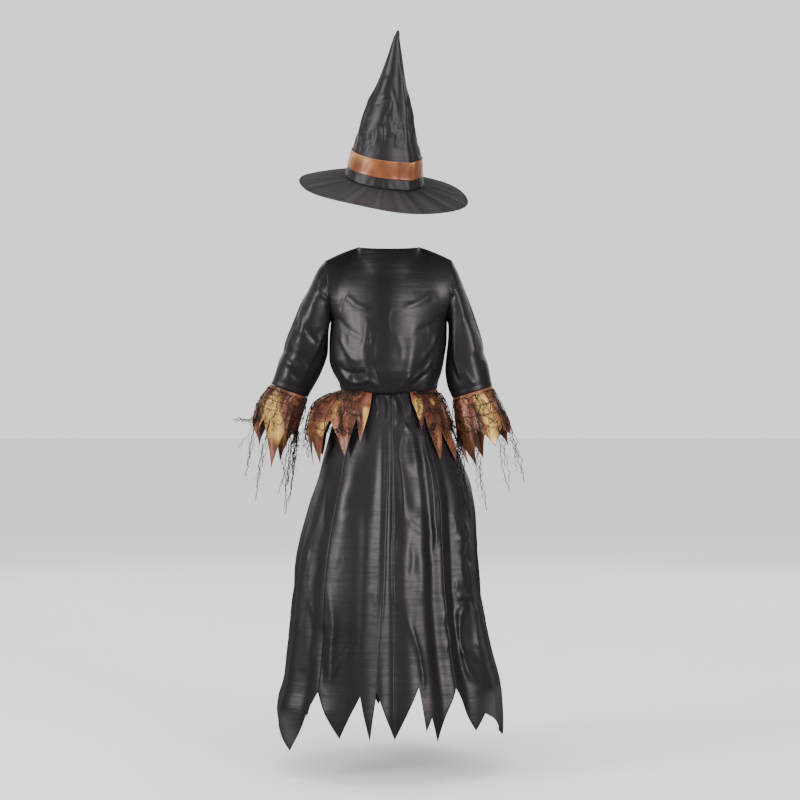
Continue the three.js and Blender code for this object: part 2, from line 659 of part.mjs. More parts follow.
function netGeometry(knots, tied) {
  const points = [];
  const faces = [];
  const blocks = new Map();
  const key = (i, j) => `${i} ${j}`;
  const quad = (a, b, c, d) => faces.push(a, b, c, a, c, d);
  knots.forEach((fall, i) => fall.forEach((knot, j) => {
    const beside = [knots[i - 1]?.[j], knots[i + 1]?.[j]];
    const known = beside[0] || beside[1] ? null : points.length - 8;
    const across = known === null
      ? (beside[1] || knot).clone().sub(beside[0] || knot).normalize()
      : points[known + 4].clone().sub(points[known]).normalize();
    const down = (fall[j + 1] || knot).clone().sub(fall[j - 1] || knot);
    down.addScaledVector(across, -down.dot(across)).normalize();
    const out = across.clone().cross(down);
    blocks.set(key(i, j), points.length);
    for (const u of [-1, 1]) {
      for (const v of [-1, 1]) {
        for (const n of [-1, 1]) {
          const corner = knot.clone().addScaledVector(across, u * THREAD);
          corner.addScaledVector(down, v * THREAD);
          points.push(corner.addScaledVector(out, n * THREAD));
        }
      }
    }
  }));
  const side = (block, loop, far) => LOOPS[loop].map((corner) => {
    const place = corner.map((bit, axis) => (axis === LOOP_AXIS[loop] && !far ? 1 - bit : bit));
    return block + place[0] * 4 + place[1] * 2 + place[2];
  });
  knots.forEach((fall, i) => fall.forEach((knot, j) => {
    const block = blocks.get(key(i, j));
    quad(...side(block, 'out', true));
    quad(...side(block, 'out', false).reverse());
    const joins = [
      ['across', tied(i, j) ? blocks.get(key(i + 1, j)) : undefined, tied(i - 1, j)],
      ['down', blocks.get(key(i, j + 1)), j > 0],
    ];
    for (const [loop, next, before] of joins) {
      const near = side(block, loop, true);
      if (next === undefined) quad(...near);
      else {
        const far = side(next, loop, false);
        near.forEach((a, k) => quad(a, near[(k + 1) % 4], far[(k + 1) % 4], far[k]));
      }
      if (!before) quad(...side(block, loop, false).reverse());
    }
  }));
  return facingOut(points, faces);
}

// Uneven but repeatable shift between -1 and 1 for one knot
function drift(i, j, seed) {
  return Math.sin(i * 12.9898 + j * 78.233 + seed * 37.719);
}

// How far the net stands off the cloth at a share of its drop
function netStand(drop) {
  return NET_STAND.seam + (NET_STAND.free - NET_STAND.seam) * ease(drop * 2);
}

// Knots of a net over a cloth: surface(share, drop) gives a point over it. Tails are loose ends that go on
// from the foot of a fall to a free end.
function netKnots({ falls, rows, seed, surface, tails }) {
  return Array.from({ length: falls }, (_, i) => {
    const fall = Array.from({ length: rows }, (__, j) => {
      const sway = j > 0 ? 0.32 : 0.06;
      const share = (i + sway * drift(i, j, seed)) / (falls - 1);
      const drop = (j + (j > 0 ? 0.3 * drift(j, i, seed) : 0)) / (rows - 1);
      return surface(share, drop);
    });
    const tail = tails.find((one) => one.fall === i);
    if (tail) {
      const start = fall[rows - 1];
      const end = new THREE.Vector3(tail.x, tail.y, tail.z);
      fall.push(start.clone().lerp(end, 0.5).add(new THREE.Vector3(4 * drift(i, 1, seed), 5, 0)), end);
    }
    return fall;
  });
}

// Net of one cuff: it lies over the outer and back sides, and its loose ends hang below the points
const CUFF_WEBS = {
  cuff_left: {
    name: 'cuff_web_left', from: -10, to: 170, falls: 7, rows: 4, reach: 0.6, seed: 1,
    tails: [
      { fall: 0, x: 312, y: 4, z: -322 },
      { fall: 1, x: 286, y: 22, z: -436 },
      { fall: 3, x: 264, y: 42, z: -484 },
      { fall: 5, x: 218, y: 40, z: -468 },
      { fall: 6, x: 207, y: 22, z: -514 },
    ],
  },
  cuff_right: {
    name: 'cuff_web_right', from: 4, to: 172, falls: 7, rows: 4, reach: 0.6, seed: 2,
    tails: [
      { fall: 0, x: -268, y: 34, z: -448 },
      { fall: 2, x: -236, y: 84, z: -462 },
      { fall: 4, x: -190, y: 96, z: -500 },
      { fall: 6, x: -158, y: 96, z: -516 },
    ],
  },
};

for (const [name, web] of Object.entries(CUFF_WEBS)) {
  const surface = (share, drop) => {
    const turn = web.from + (web.to - web.from) * share;
    return cuffPoint(name, turn, 0.05 + (web.reach - 0.05) * drop, netStand(drop));
  };
  const knots = netKnots({ ...web, surface });
  const tied = (i, j) => j < web.rows && i >= 0 && i + 1 < web.falls && !(j === 2 && i === 3);
  addPiece(web.name, netGeometry(knots, tied), blackNet());
}

// Net over each copper strip of the waist
const PEPLUM_NET_LIFT = 2; // further lift over the round of the strip
const PEPLUM_WEBS = {
  peplum_left: {
    name: 'peplum_web_left', from: 27, to: 150, falls: 10, rows: 4, foot: -338, seed: 3,
    tails: [
      { fall: 1, x: 96, y: 122, z: -384 },
      { fall: 5, x: 160, y: 22, z: -398 },
      { fall: 8, x: 112, y: -106, z: -382 },
    ],
  },
  peplum_right: {
    name: 'peplum_web_right', from: -27, to: -150, falls: 9, rows: 4, foot: -334, seed: 4,
    tails: [
      { fall: 1, x: -92, y: 116, z: -372 },
      { fall: 7, x: -98, y: -100, z: -380 },
    ],
  },
};

for (const web of Object.values(PEPLUM_WEBS)) {
  const top = PEPLUM_ROWS[0].z - 7;
  const surface = (share, drop) => {
    const angle = web.from + (web.to - web.from) * share;
    const z = top + (web.foot - top) * Math.max(drop, 0) ** 1.5;
    return peplumPoint(angle, z, netStand(drop) + PEPLUM_NET_LIFT);
  };
  const knots = netKnots({ ...web, surface });
  const tied = (i, j) => j < web.rows && i >= 0 && i + 1 < web.falls && !(j === 2 && i === 4);
  addPiece(web.name, netGeometry(knots, tied), blackNet());
}

// Hat, in its own frame with the brim level, then tipped back and a little to the right
const hat = new THREE.Group();
hat.position.set(HAT.x, HAT.y, HAT.z);
hat.rotation.order = 'YXZ';
hat.rotation.set(-radians(HAT.pitch), -radians(HAT.roll), 0);

function crownPoint(angle, up, out = 0) {
  const row = along(CROWN_ROWS, 'up', up);
  let corner = 0;
  for (const { angle: at, out: size, spread } of CROWN_CORNERS) {
    corner += size * bump(turned(angle - at) / spread);
  }
  const fade = ease((CROWN_ROWS[CROWN_ROWS.length - 1].up - up) / 150);
  const radius = row.radius + corner * fade + out;
  const turn = radians(angle);
  return new THREE.Vector3(row.side + radius * Math.sin(turn), radius * Math.cos(turn), up);
}

// The crown is an outer and an inner cone that share an edge at the foot, each closed at its tip
function crownGeometry(columns, ups) {
  const points = [];
  const faces = [];
  const wallAt = (up) => Math.min(SATIN, along(CROWN_ROWS, 'up', up).radius * 0.6);
  for (const side of [0, 1]) {
    for (const up of ups) {
      for (let i = 0; i < columns; i += 1) {
        points.push(crownPoint((360 * i) / columns, up, side ? -wallAt(up) : 0));
      }
    }
  }
  const topUp = ups[ups.length - 1];
  const outerTip = points.push(crownPoint(0, topUp).setX(CROWN_ROWS[CROWN_ROWS.length - 1].side).setY(0)) - 1;
  points[outerTip].z = topUp + 2;
  const innerTip = points.push(points[outerTip].clone().setZ(topUp - 1.2)) - 1;
  const ringSize = ups.length * columns;
  for (let row = 0; row + 1 < ups.length; row += 1) {
    for (let i = 0; i < columns; i += 1) {
      const next = (i + 1) % columns;
      const [a, b] = [row * columns + i, row * columns + next];
      const [c, d] = [a + columns, b + columns];
      faces.push(a, b, d, a, d, c);
      faces.push(ringSize + a, ringSize + d, ringSize + b, ringSize + a, ringSize + c, ringSize + d);
    }
  }
  for (let i = 0; i < columns; i += 1) {
    const next = (i + 1) % columns;
    const top = (ups.length - 1) * columns;
    faces.push(top + i, top + next, outerTip);
    faces.push(ringSize + top + next, ringSize + top + i, innerTip);
    faces.push(i, ringSize + i, ringSize + next, i, ringSize + next, next);
  }
  return facingOut(points, faces);
}
addPiece('hat_crown', crownGeometry(24, CROWN_ROWS.map((row) => row.up)), blackSatin(), hat);

// The brim is a wired disc with a raised rim and soft waves that grow towards it
const brimSurface = (angle, v) => {
  const radius = BRIM.inner + (BRIM.outer - BRIM.inner) * v;
  const wave = BRIM.wave * v * (Math.sin(radians(2 * angle + 40)) + 0.5 * Math.sin(radians(5 * angle)));
  const droop = BRIM.droop * (0.7 * v + 0.3 * v * v);
  const turn = radians(angle);
  return new THREE.Vector3(radius * Math.sin(turn), radius * Math.cos(turn), 1 + wave - droop);
};
addPiece('hat_brim', clothWall({
  surface: brimSurface,
  inside: (angle, v) => brimSurface(angle, v).setZ(-200),
  us: steps(0, 360, 48),
  vs: [0, 0.09, 0.5, 0.97, 1],
  wall: (angle, v) => (v > 0.95 ? BRIM.rim : BRIM.wall),
  wrapped: true,
}), blackSatin(), hat);

// The band lies round the crown, made from the crown's points
addPiece('hat_band', clothWall({
  surface: (angle, v) => crownPoint(angle, BAND.foot + BAND.height * v, BAND.gap + BAND.wall),
  inside: (angle, v) => new THREE.Vector3(0, 0, BAND.foot + BAND.height * v),
  us: steps(0, 360, 24),
  vs: [0, 0.5, 1],
  wall: BAND.wall,
  wrapped: true,
}), copperSatin(), hat);

costume.add(hat);

export default costume;
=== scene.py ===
# A child's witch costume, dressed in satin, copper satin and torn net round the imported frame.
# All lengths are millimetres until a mesh is made; the costume's back faces +Y.
import math

import bpy
import numpy as np
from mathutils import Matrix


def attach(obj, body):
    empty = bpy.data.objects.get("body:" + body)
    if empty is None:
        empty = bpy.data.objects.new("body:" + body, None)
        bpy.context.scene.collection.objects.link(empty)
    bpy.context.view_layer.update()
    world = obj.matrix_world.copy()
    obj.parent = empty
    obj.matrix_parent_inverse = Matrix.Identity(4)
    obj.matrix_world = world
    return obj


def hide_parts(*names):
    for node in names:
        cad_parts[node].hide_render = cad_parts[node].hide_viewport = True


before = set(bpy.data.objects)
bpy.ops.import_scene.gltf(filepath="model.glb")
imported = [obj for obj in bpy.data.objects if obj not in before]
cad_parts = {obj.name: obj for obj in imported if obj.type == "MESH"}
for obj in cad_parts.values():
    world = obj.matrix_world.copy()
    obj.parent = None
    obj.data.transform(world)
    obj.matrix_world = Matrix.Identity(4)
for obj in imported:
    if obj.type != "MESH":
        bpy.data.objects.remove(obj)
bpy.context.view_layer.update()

# Camera at the photograph's angle: straight on to the back, in metres, its sensor in millimetres
cameraView = {"distance": 3.5, "across": 1.6, "x": -0.022, "z": -0.284, "sensor": 36}


def addCamera(view):
    data = bpy.data.cameras.new("camera")
    data.sensor_width = view["sensor"]
    data.lens = view["sensor"] * view["distance"] / view["across"]
    camera = bpy.data.objects.new("camera", data)
    camera.location = (view["x"], view["distance"], view["z"])
    camera.rotation_euler = (math.pi / 2, 0, math.pi)
    bpy.context.scene.collection.objects.link(camera)
    bpy.context.scene.camera = camera


addCamera(cameraView)


# Sums on sockets: a wire is one output of a node, and plain operators add the Math nodes
class Wire:
    def __init__(self, finish, socket):
        self.finish = finish
        self.socket = socket

    def maths(self, operation, first, second):
        return self.finish.node("Math", {"operation": operation}, {0: first, 1: second})

    def __add__(self, other):
        return self.maths("ADD", self, other)

    def __radd__(self, other):
        return self.maths("ADD", other, self)

    def __sub__(self, other):
        return self.maths("SUBTRACT", self, other)

    def __rsub__(self, other):
        return self.maths("SUBTRACT", other, self)

    def __mul__(self, other):
        return self.maths("MULTIPLY", self, other)

    def __rmul__(self, other):
        return self.maths("MULTIPLY", other, self)


# The nodes of one finish: its owner is a new material or world, and its shader takes what set() gives.
# Sockets go by name, but by number on the Math and Mix nodes, where several share one name.
class Finish:
    def __init__(self, owner, shader="Principled BSDF"):
        owner.use_nodes = True
        self.owner = owner
        self.tree = owner.node_tree
        self.shader = self.tree.nodes[shader]

    def node(self, kind, settings=None, inputs=None, output=0):
        made = self.tree.nodes.new("ShaderNode" + kind)
        for key, value in (settings or {}).items():
            setattr(made, key, value)
        for key, value in (inputs or {}).items():
            self.feed(made.inputs[key], value)
        return Wire(self, made.outputs[output])

    def feed(self, socket, value):
        if isinstance(value, Wire):
            self.tree.links.new(value.socket, socket)
        else:
            socket.default_value = value

    def set(self, **values):
        for key, value in values.items():
            self.feed(self.shader.inputs[key.replace("_", " ")], value)

    def place(self, scale):
        coordinates = self.node("TexCoord", output="Object")
        return self.node("Mapping", {}, {"Vector": coordinates, "Scale": scale})

    def noise(self, scale, detail=3.0, rough=0.55):
        return self.node("TexNoise", {}, {"Vector": self.place(scale), "Scale": 1.0, "Detail": detail,
                                          "Roughness": rough})

    def mark(self, name):
        return self.node("Attribute", {"attribute_name": name}, output="Fac")

    def between(self, low, high, value):
        return self.node("MapRange", {"interpolation_type": "SMOOTHSTEP"},
                         {"Value": value, "From Min": low, "From Max": high})

    def blend(self, share, first, second):
        return self.node("Mix", {"data_type": "RGBA"}, {0: share, 6: first, 7: second}, output=2)

    def bump(self, height, depth):
        return self.node("Bump", {}, {"Height": height, "Distance": depth, "Strength": 1.0})


# Black satin: near black, with a broad soft sheen, fine crosswise streaks and a duller wrong side.
# Clouds, creases, streaks and slubs are noises: their counts to a metre across, deep and up.
blackValues = {
    "deep": (0.0060, 0.0056, 0.0066, 1),
    "worn": (0.0105, 0.0098, 0.0115, 1),
    "reverse": (0.0100, 0.0094, 0.0105, 1),
    "edge": (0.020, 0.018, 0.021, 1),
    # Pale: painted light, for the skirt's hem corners and the hat's brim
    "pale": (0.046, 0.043, 0.047, 1),
    "roughness": 0.44,
    "sheen": 0.015,
    "sheenRoughness": 0.4,
    "tint": (1, 0.88, 0.97, 1),
    "crumple": 0.0013,
    "clouds": (7, 7, 4),
    "creases": (22, 22, 30),
    "streaks": (9, 9, 80),
    "slubs": (30, 30, 420),
    "heights": {"crease": 0.9, "streak": 0.5, "slub": 0.04},
}


def makeBlackSatin(name, values):
    satin = Finish(bpy.data.materials.new(name))
    cloud = satin.noise(values["clouds"], detail=3)
    colour = satin.blend(satin.between(0.35, 0.7, cloud), values["deep"], values["worn"])
    reverse = satin.mark("reverse")
    colour = satin.blend(reverse, colour, values["reverse"])
    cutEdge = satin.between(1.5, 0.5, satin.mark("fromEdge"))
    colour = satin.blend(cutEdge * 0.6, colour, values["edge"])
    # Painted light, where the pale mark lies
    colour = satin.blend(satin.mark("pale"), colour, values["pale"])
    crease = satin.noise(values["creases"], detail=2, rough=0.45)
    streak = satin.noise(values["streaks"], detail=2, rough=0.5)
    slub = satin.noise(values["slubs"], detail=1)
    heights = values["heights"]
    height = crease * heights["crease"] + streak * heights["streak"] + slub * heights["slub"]
    satin.set(Base_Color=colour, Roughness=values["roughness"] + cloud * 0.12 - 0.06 + reverse * 0.3,
              Specular_IOR_Level=0.5, Specular_Tint=values["tint"], Sheen_Weight=values["sheen"],
              Sheen_Roughness=values["sheenRoughness"], Sheen_Tint=values["tint"],
              Normal=satin.bump(height, values["crumple"]))
    return satin.owner


# Copper satin, shot with gold: red-brown ground; the cloth's shot gold painted as a sheen where a piece's
# gold sheen mark lies, on facets that catch the light, with a painted highlight brighter still on its
# strongest parts; and deep brown painted shade in creases where its mark of painted shade lies
copperValues = {
    "ground": (0.235, 0.078, 0.040, 1),
    "brown": (0.100, 0.034, 0.020, 1),
    "goldSheen": (0.47, 0.25, 0.060, 1),
    "paintedHighlight": (0.62, 0.39, 0.13, 1),
    "paintedShade": (0.030, 0.011, 0.007, 1),
    "edge": (0.36, 0.15, 0.07, 1),
    "metallic": 0.3,
    "roughness": 0.33,
    "sheen": 0.08,
    "sheenRoughness": 0.4,
    "tint": (1, 0.75, 0.5, 1),
    "crumple": 0.0013,
    "clouds": (26, 26, 12),
    "creases": (40, 40, 26),
    "threads": (300, 300, 1400),
    "heights": {"crease": 0.7, "thread": 0.04},
}


def makeCopperSatin(name, values):
    satin = Finish(bpy.data.materials.new(name))
    cloud = satin.noise(values["clouds"], detail=4)
    thread = satin.noise(values["threads"], detail=2)
    goldSheen = satin.mark("goldSheen")
    colour = satin.blend(satin.between(0.38, 0.62, cloud), values["brown"], values["ground"])
    # Gold sheen: the cloth's shot gold, painted where its folds catch the light
    colour = satin.blend(goldSheen * (0.75 + cloud * 0.4), colour, values["goldSheen"])
    # Painted highlight: brighter gold over the strongest gold sheen
    colour = satin.blend(satin.between(0.55, 1.1, goldSheen + cloud * 0.3) * 0.55, colour, values["paintedHighlight"])
    # Painted shade: deep brown in creases and under the blouse, where the mark of painted shade lies
    colour = satin.blend(satin.mark("paintedShade") * 0.9, colour, values["paintedShade"])
    colour = satin.blend(satin.mark("reverse") * 0.5, colour, values["brown"])
    cutEdge = satin.between(1.4, 0.5, satin.mark("fromEdge"))
    colour = satin.blend(cutEdge * 0.45, colour, values["edge"])
    heights = values["heights"]
    height = satin.noise(values["creases"], detail=3) * heights["crease"] + thread * heights["thread"]
    satin.set(Base_Color=colour, Metallic=values["metallic"], Roughness=values["roughness"] + cloud * 0.12,
              Specular_IOR_Level=0.5, Sheen_Weight=values["sheen"],
              Sheen_Roughness=values["sheenRoughness"], Sheen_Tint=values["tint"],
              Normal=satin.bump(height, values["crumple"]))
    return satin.owner


# Thread: two shades and a fine bump from one noise, as twisted yarn has
threadValues = {"twists": (900, 900, 900), "bump": 0.0002, "specular": 0.3}


def makeThread(name, colour, roughness):
    thread = Finish(bpy.data.materials.new(name))
    twist = thread.noise(threadValues["twists"], detail=2)
    thread.set(Base_Color=thread.blend(thread.between(0.3, 0.7, twist), colour[0], colour[1]),
               Roughness=roughness, Specular_IOR_Level=threadValues["specular"],
               Normal=thread.bump(twist, threadValues["bump"]))
    return thread.owner


blackSatin = makeBlackSatin("black_satin", blackValues)
hatSatin = makeBlackSatin("hat_satin", {**blackValues, "deep": (0.0075, 0.007, 0.0082, 1),
                                        "worn": (0.013, 0.012, 0.014, 1), "roughness": 0.5,
                                        "sheen": 0.03, "crumple": 0.0014})
copperSatin = makeCopperSatin("copper_satin", copperValues)
bandSatin = makeCopperSatin("band_satin", {**copperValues, "ground": (0.27, 0.080, 0.026, 1),
                                           "brown": (0.17, 0.050, 0.018, 1), "crumple": 0.0006})
netThread = makeThread("black_net", ((0.004, 0.0038, 0.004, 1), (0.010, 0.0095, 0.010, 1)), 0.8)
sewingThread = makeThread("sewing_thread", ((0.008, 0.008, 0.009, 1), (0.03, 0.028, 0.03, 1)), 0.6)
print("finishes made")


# Soft step: 3 t squared less 2 t cubed, from 0 to 1
def softStep(t):
    s = np.clip(t, 0, 1)
    return s * s * (3 - 2 * s)


# Soft bump: e to the power of minus 2 t squared
def softBump(t):
    return np.exp(-2 * t * t)


# From 0 at both ends to 1 between: a soft step up over the first share and one down over the last
def fadeEnds(share, first, last):
    return softStep(share / first) * softStep((1 - share) / last)


# Beside a seam only: a soft step up over the first share, times one down that is 0 from its reach on
def besideSeam(share, reach, first):
    return softStep(1 - share / reach) * softStep(share / first)


# Towards a free edge: a soft step from 0 at the start to 1 at the edge
def towardsEdge(share, start):
    return softStep((share - start) / (1 - start))


# A strength between 1 and 1 less twice its depth, as a sine with a count and a shift
def uneven(turn, depth, count, shift=0):
    return 1 - depth + depth * np.sin(turn * count + shift)


# A sine with a count whose waves come unevenly, because a slower sine shifts them
def unevenSine(turn, count, drift, slower):
    return np.sin(turn * count + drift * np.sin(turn * slower))


# The number of the grid's row whose share is nearest to the one asked for
def rowAt(shares, share):
    return np.abs(shares[:, 0] - share).argmin()


# A raised hem: a soft step up, from one share of the cloth to its edge
def hemRise(share, hem):
    return hem["out"] * softStep((share - hem["from"]) / hem["soft"])


# Rows of a table as dictionaries under the names of its columns
def named(columns, rows):
    return [dict(zip(columns, row)) for row in rows]


# Every column of a table along its key column, on a smooth cubic that never overshoots its rows
def throughRows(rows, key, at):
    rows = sorted(rows, key=lambda row: row[key])
    keys = np.array([row[key] for row in rows], float)
    last = len(keys) - 1
    i = np.clip(np.searchsorted(keys, at, side="right") - 1, 0, last - 1)
    span = keys[i + 1] - keys[i]
    t = (at - keys[i]) / span
    before = np.maximum(i - 1, 0)
    after = np.minimum(i + 2, last)
    found = {key: at}
    for column in rows[0]:
        if column == key:
            continue
        values = np.array([row[column] for row in rows], float)
        rise = values[i + 1] - values[i]
        slopes = []
        for near, far in ((before, i + 1), (i, after)):
            slope = (values[far] - values[near]) / (keys[far] - keys[near]) * span
            held = np.sign(slope) * np.minimum(np.abs(slope), 3 * np.abs(rise))
            slopes.append(np.where(slope * rise > 0, held, 0))
        found[column] = (values[i] + rise * (3 * t ** 2 - 2 * t ** 3)
                         + (t ** 3 - 2 * t ** 2 + t) * slopes[0] + (t ** 3 - t ** 2) * slopes[1])
    return found


# An angle in degrees brought between -180 and 180
def wrapAngle(angle):
    return (angle + 180) % 360 - 180


# Oval section: a half width of its own to each side, times the angle's sine across and cosine deep.
# Angle 0 is the centre back, 90 the left side.
def onSection(angle, row):
    s = np.sin(np.radians(angle))
    c = np.cos(np.radians(angle))
    z = np.broadcast_to(row["z"], s.shape)
    return np.stack([np.where(s > 0, row["left"], row["right"]) * s,
                     np.where(c > 0, row["back"], row["front"]) * c, z], -1)


# Points moved away from the upright axis: the radius grows by the distance, the height stays
def movedOut(points, distance):
    radius = np.hypot(points[..., 0], points[..., 1])
    scale = 1 + distance / radius
    return np.stack([points[..., 0] * scale, points[..., 1] * scale, points[..., 2]], -1)


def unit(vectors):
    return vectors / np.maximum(np.linalg.norm(vectors, axis=-1, keepdims=True), 1e-9)


# Normals of a grid: the cross product of its two tangents, turned away from the points given as inside
def gridNormals(points, inside, wrapped=False):
    if wrapped:
        across = np.roll(points, -1, 1) - np.roll(points, 1, 1)
    else:
        across = np.gradient(points, axis=1)
    normals = unit(np.cross(across, np.gradient(points, axis=0)))
    facing = np.sign((normals * (points - inside)).sum(-1, keepdims=True))
    return normals * np.where(facing == 0, 1, facing)


# Smooth line through a few points, with some steps to each stretch: cubics whose slope at a point is half
# the way from the point before to the one after
def smoothLine(points, count=7):
    points = np.array(points, float)
    padded = np.vstack([2 * points[0] - points[1], points, 2 * points[-1] - points[-2]])
    t = np.linspace(0, 1, count, endpoint=False)[:, None]
    parts = []
    for a, b, c, d in zip(padded, padded[1:], padded[2:], padded[3:]):
        parts.append(0.5 * (2 * b + (c - a) * t + (2 * a - 5 * b + 4 * c - d) * t ** 2
                            + (3 * b - a - 3 * c + d) * t ** 3))
    return np.vstack([*parts, points[-1:]])


# How each side of the costume is seen: the axis across, the axis towards the eye and its sign
sideViews = {"back": (0, 1, 1), "front": (0, 1, -1), "left": (1, 0, 1), "right": (1, 0, -1)}
foldColumns = ("out", "wide", "line", "crisp", "lean", "fade")
foldForm = {"crisp": 0.3, "lean": 0, "fade": 0.28}
foldReach = 3.2


# Folds seen on one side, a row for each: how far out, or in below 0, half the width, the line's points
# across and up, and then the crispness, lean and fading ends, where they differ from the usual ones
def foldRows(side, rows):
    return [{"side": side, **foldForm, **row} for row in named(foldColumns, rows)]


# Height of folds drawn as lines on a side of the costume. Across a line the height falls off as a soft
# bell, e to the power of minus d squared, mixed by crisp with a sharp crest, e to the power of -1.8 d. It
# is steeper on one flank where it leans, and fades in at both ends and where the cloth turns away.
def foldHeight(points, normals, folds):
    height = np.zeros(points.shape[:-1])
    for fold in folds:
        across, towards, sign = sideViews[fold["side"]]
        line = smoothLine(fold["line"])
        wide = fold["wide"]
        reach = foldReach * wide
        seen = normals[..., towards] * sign
        flat = points[..., [across, 2]]
        near = ((flat > line.min(0) - reach) & (flat < line.max(0) + reach)).all(-1) & (seen > 0)
        if not near.any():
            continue
        flat = flat[near][:, None, :]
        start = line[:-1]
        step = line[1:] - start
        share = np.clip(((flat - start) * step).sum(-1) / (step ** 2).sum(-1), 0, 1)
        gap = flat - start - share[..., None] * step
        distance = np.linalg.norm(gap, axis=-1)
        best = distance.argmin(1)
        row = np.arange(len(best))
        along = (best + share[row, best]) / len(start)
        away = step[best, 0] * gap[row, best, 1] - step[best, 1] * gap[row, best, 0]
        d = distance[row, best] / (wide * (1 + fold["lean"] * np.sign(away)))
        crisp = fold["crisp"]
        shape = (1 - crisp) * np.exp(-d * d) + crisp * np.exp(-1.8 * d)
        shape = shape * fadeEnds(along, fold["fade"], fold["fade"])
        height[near] += fold["out"] * shape * softStep(seen[near] * 2.5)
    return height


# Short uneven folds scattered over one side between two corners, from a seed: each runs down at a slope,
# bent in its middle, with its length, height and width picked between two values
crumpleForm = {"slope": 0.5, "bend": 0.2, "crisp": 0.4}


def smallFolds(side, low, high, count, seed, out=(0.5, 1.4), length=(25, 70), wide=(3, 6)):
    pick = np.random.default_rng(seed)
    folds = []
    for _ in range(count):
        start = pick.uniform(low, high)
        reach = pick.uniform(*length)
        slope = pick.uniform(-crumpleForm["slope"], crumpleForm["slope"])
        bend = pick.uniform(-crumpleForm["bend"], crumpleForm["bend"]) * reach
        end = start + reach * np.array([math.sin(slope), -math.cos(slope)])
        middle = (start + end) / 2 + [bend * math.cos(slope), bend * math.sin(slope)]
        size = pick.uniform(*out) * pick.choice([-1, 1])
        folds += foldRows(side, [(size, pick.uniform(*wide), [start, middle, end], crumpleForm["crisp"])])
    return folds


def crumples(rows):
    return [fold for row in rows for fold in smallFolds(*row)]


# A mark from 0 to 1 along some lines: the soft step of a fold's height, from 0.12 to 0.82
def facets(points, normals, lines):
    return softStep((foldHeight(points, normals, lines) - 0.12) / 0.7)


# A mesh from points in millimetres and faces of four corners; flatFaces marks those shaded flat
def putMesh(name, points, quads, material, corners=None, marks=None, flatFaces=None):
    mesh = bpy.data.meshes.new(name)
    mesh.vertices.add(len(points))
    mesh.vertices.foreach_set("co", (points / 1000).astype(np.float32).ravel())
    mesh.loops.add(quads.size)
    mesh.loops.foreach_set("vertex_index", quads.astype(np.int32).ravel())
    mesh.polygons.add(len(quads))
    mesh.polygons.foreach_set("loop_start", np.arange(len(quads), dtype=np.int32) * 4)
    smooth = np.ones(len(quads), bool)
    if flatFaces is not None:
        smooth[flatFaces] = False
    mesh.polygons.foreach_set("use_smooth", smooth)
    mesh.update(calc_edges=True)
    if corners is not None:
        layer = mesh.uv_layers.new(name="cloth")
        layer.data.foreach_set("uv", corners.astype(np.float32).ravel())
    for key, values in (marks or {}).items():
        attribute = mesh.attributes.new(key, "FLOAT", "POINT")
        attribute.data.foreach_set("value", values.astype(np.float32).ravel())
    mesh.validate()
    mesh.materials.append(material)
    piece = bpy.data.objects.new(name, mesh)
    bpy.context.scene.collection.objects.link(piece)
    return piece


# A thin closed shell of cloth: the outer grid, an inner grid a wall's thickness behind it, and its rims.
# Its UV map runs in metres across and down the cloth, and reverse marks the wrong side.
def clothShell(name, outer, inside, wall, material, wrapped=False, marks=None):
    rows, columns = outer.shape[:2]
    normals = gridNormals(outer, inside, wrapped)
    inner = outer - normals * np.asarray(wall)[..., None]
    points = np.concatenate([outer.reshape(-1, 3), inner.reshape(-1, 3)])
    total = rows * columns
    spans = columns if wrapped else columns - 1
    row, column = np.meshgrid(np.arange(rows - 1), np.arange(spans), indexing="ij")
    beside = (column + 1) % columns
    a = row * columns + column
    b = row * columns + beside
    c = (row + 1) * columns + beside
    d = (row + 1) * columns + column
    face = np.stack([a, b, c, d], -1).reshape(-1, 4)
    middle = outer[rows // 2, 0]
    middleNext = outer[rows // 2, 1]
    below = outer[rows // 2 + 1, 0]
    turn = np.dot(np.cross(middleNext - middle, below - middle), normals[rows // 2, 0])
    if turn < 0:
        face = face[:, ::-1]
    parts = [face, (face + total)[:, ::-1]]
    side = 1 if turn > 0 else -1
    for edge, flip in ((0, 1), (rows - 1, -1)):
        start = edge * columns + np.arange(spans)
        end = edge * columns + (np.arange(spans) + 1) % columns
        rim = np.stack([end, start, start + total, end + total], -1)
        parts.append(rim[:, ::-1] if flip * side < 0 else rim)
    if not wrapped:
        for edge, flip in ((0, -1), (columns - 1, 1)):
            start = np.arange(rows - 1) * columns + edge
            end = start + columns
            rim = np.stack([end, start, start + total, end + total], -1)
            parts.append(rim[:, ::-1] if flip * side < 0 else rim)
    quads = np.concatenate(parts)
    flatFaces = np.arange(2 * len(face), len(quads))
    width = np.linalg.norm(np.diff(outer, axis=1), axis=-1).mean(0)
    height = np.linalg.norm(np.diff(outer, axis=0), axis=-1)
    u = np.concatenate([[0], np.cumsum(width)])
    v = np.vstack([np.zeros(columns), np.cumsum(height, 0)])
    cloth = np.stack(np.broadcast_arrays(u[None, :], v), -1) / 1000
    corners = np.concatenate([cloth.reshape(-1, 2)] * 2)[quads]
    if wrapped:
        around = u[-1] / 1000
        jump = corners[..., 0].max(1) - corners[..., 0].min(1) > around / 2
        corners[..., 0] += (jump[:, None] & (corners[..., 0] < around / 2)) * around
    both = {key: np.tile(values.ravel(), 2) for key, values in (marks or {}).items()}
    both["reverse"] = np.concatenate([np.zeros(total), np.ones(total)])
    return putMesh(name, points, quads, material, corners, both, flatFaces)


# Marks of black cloth without raw edges: far from any edge, and pale nowhere unless given, pale being painted
# light
def plainMarks(shape, pale=0.0):
    return {"fromEdge": np.full(shape, 50.0), "pale": np.broadcast_to(pale, shape)}


# Attaches a finished piece to its body, the root, and hides the solid it stands for
def declare(piece, node):
    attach(piece, "root")
    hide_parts(node)


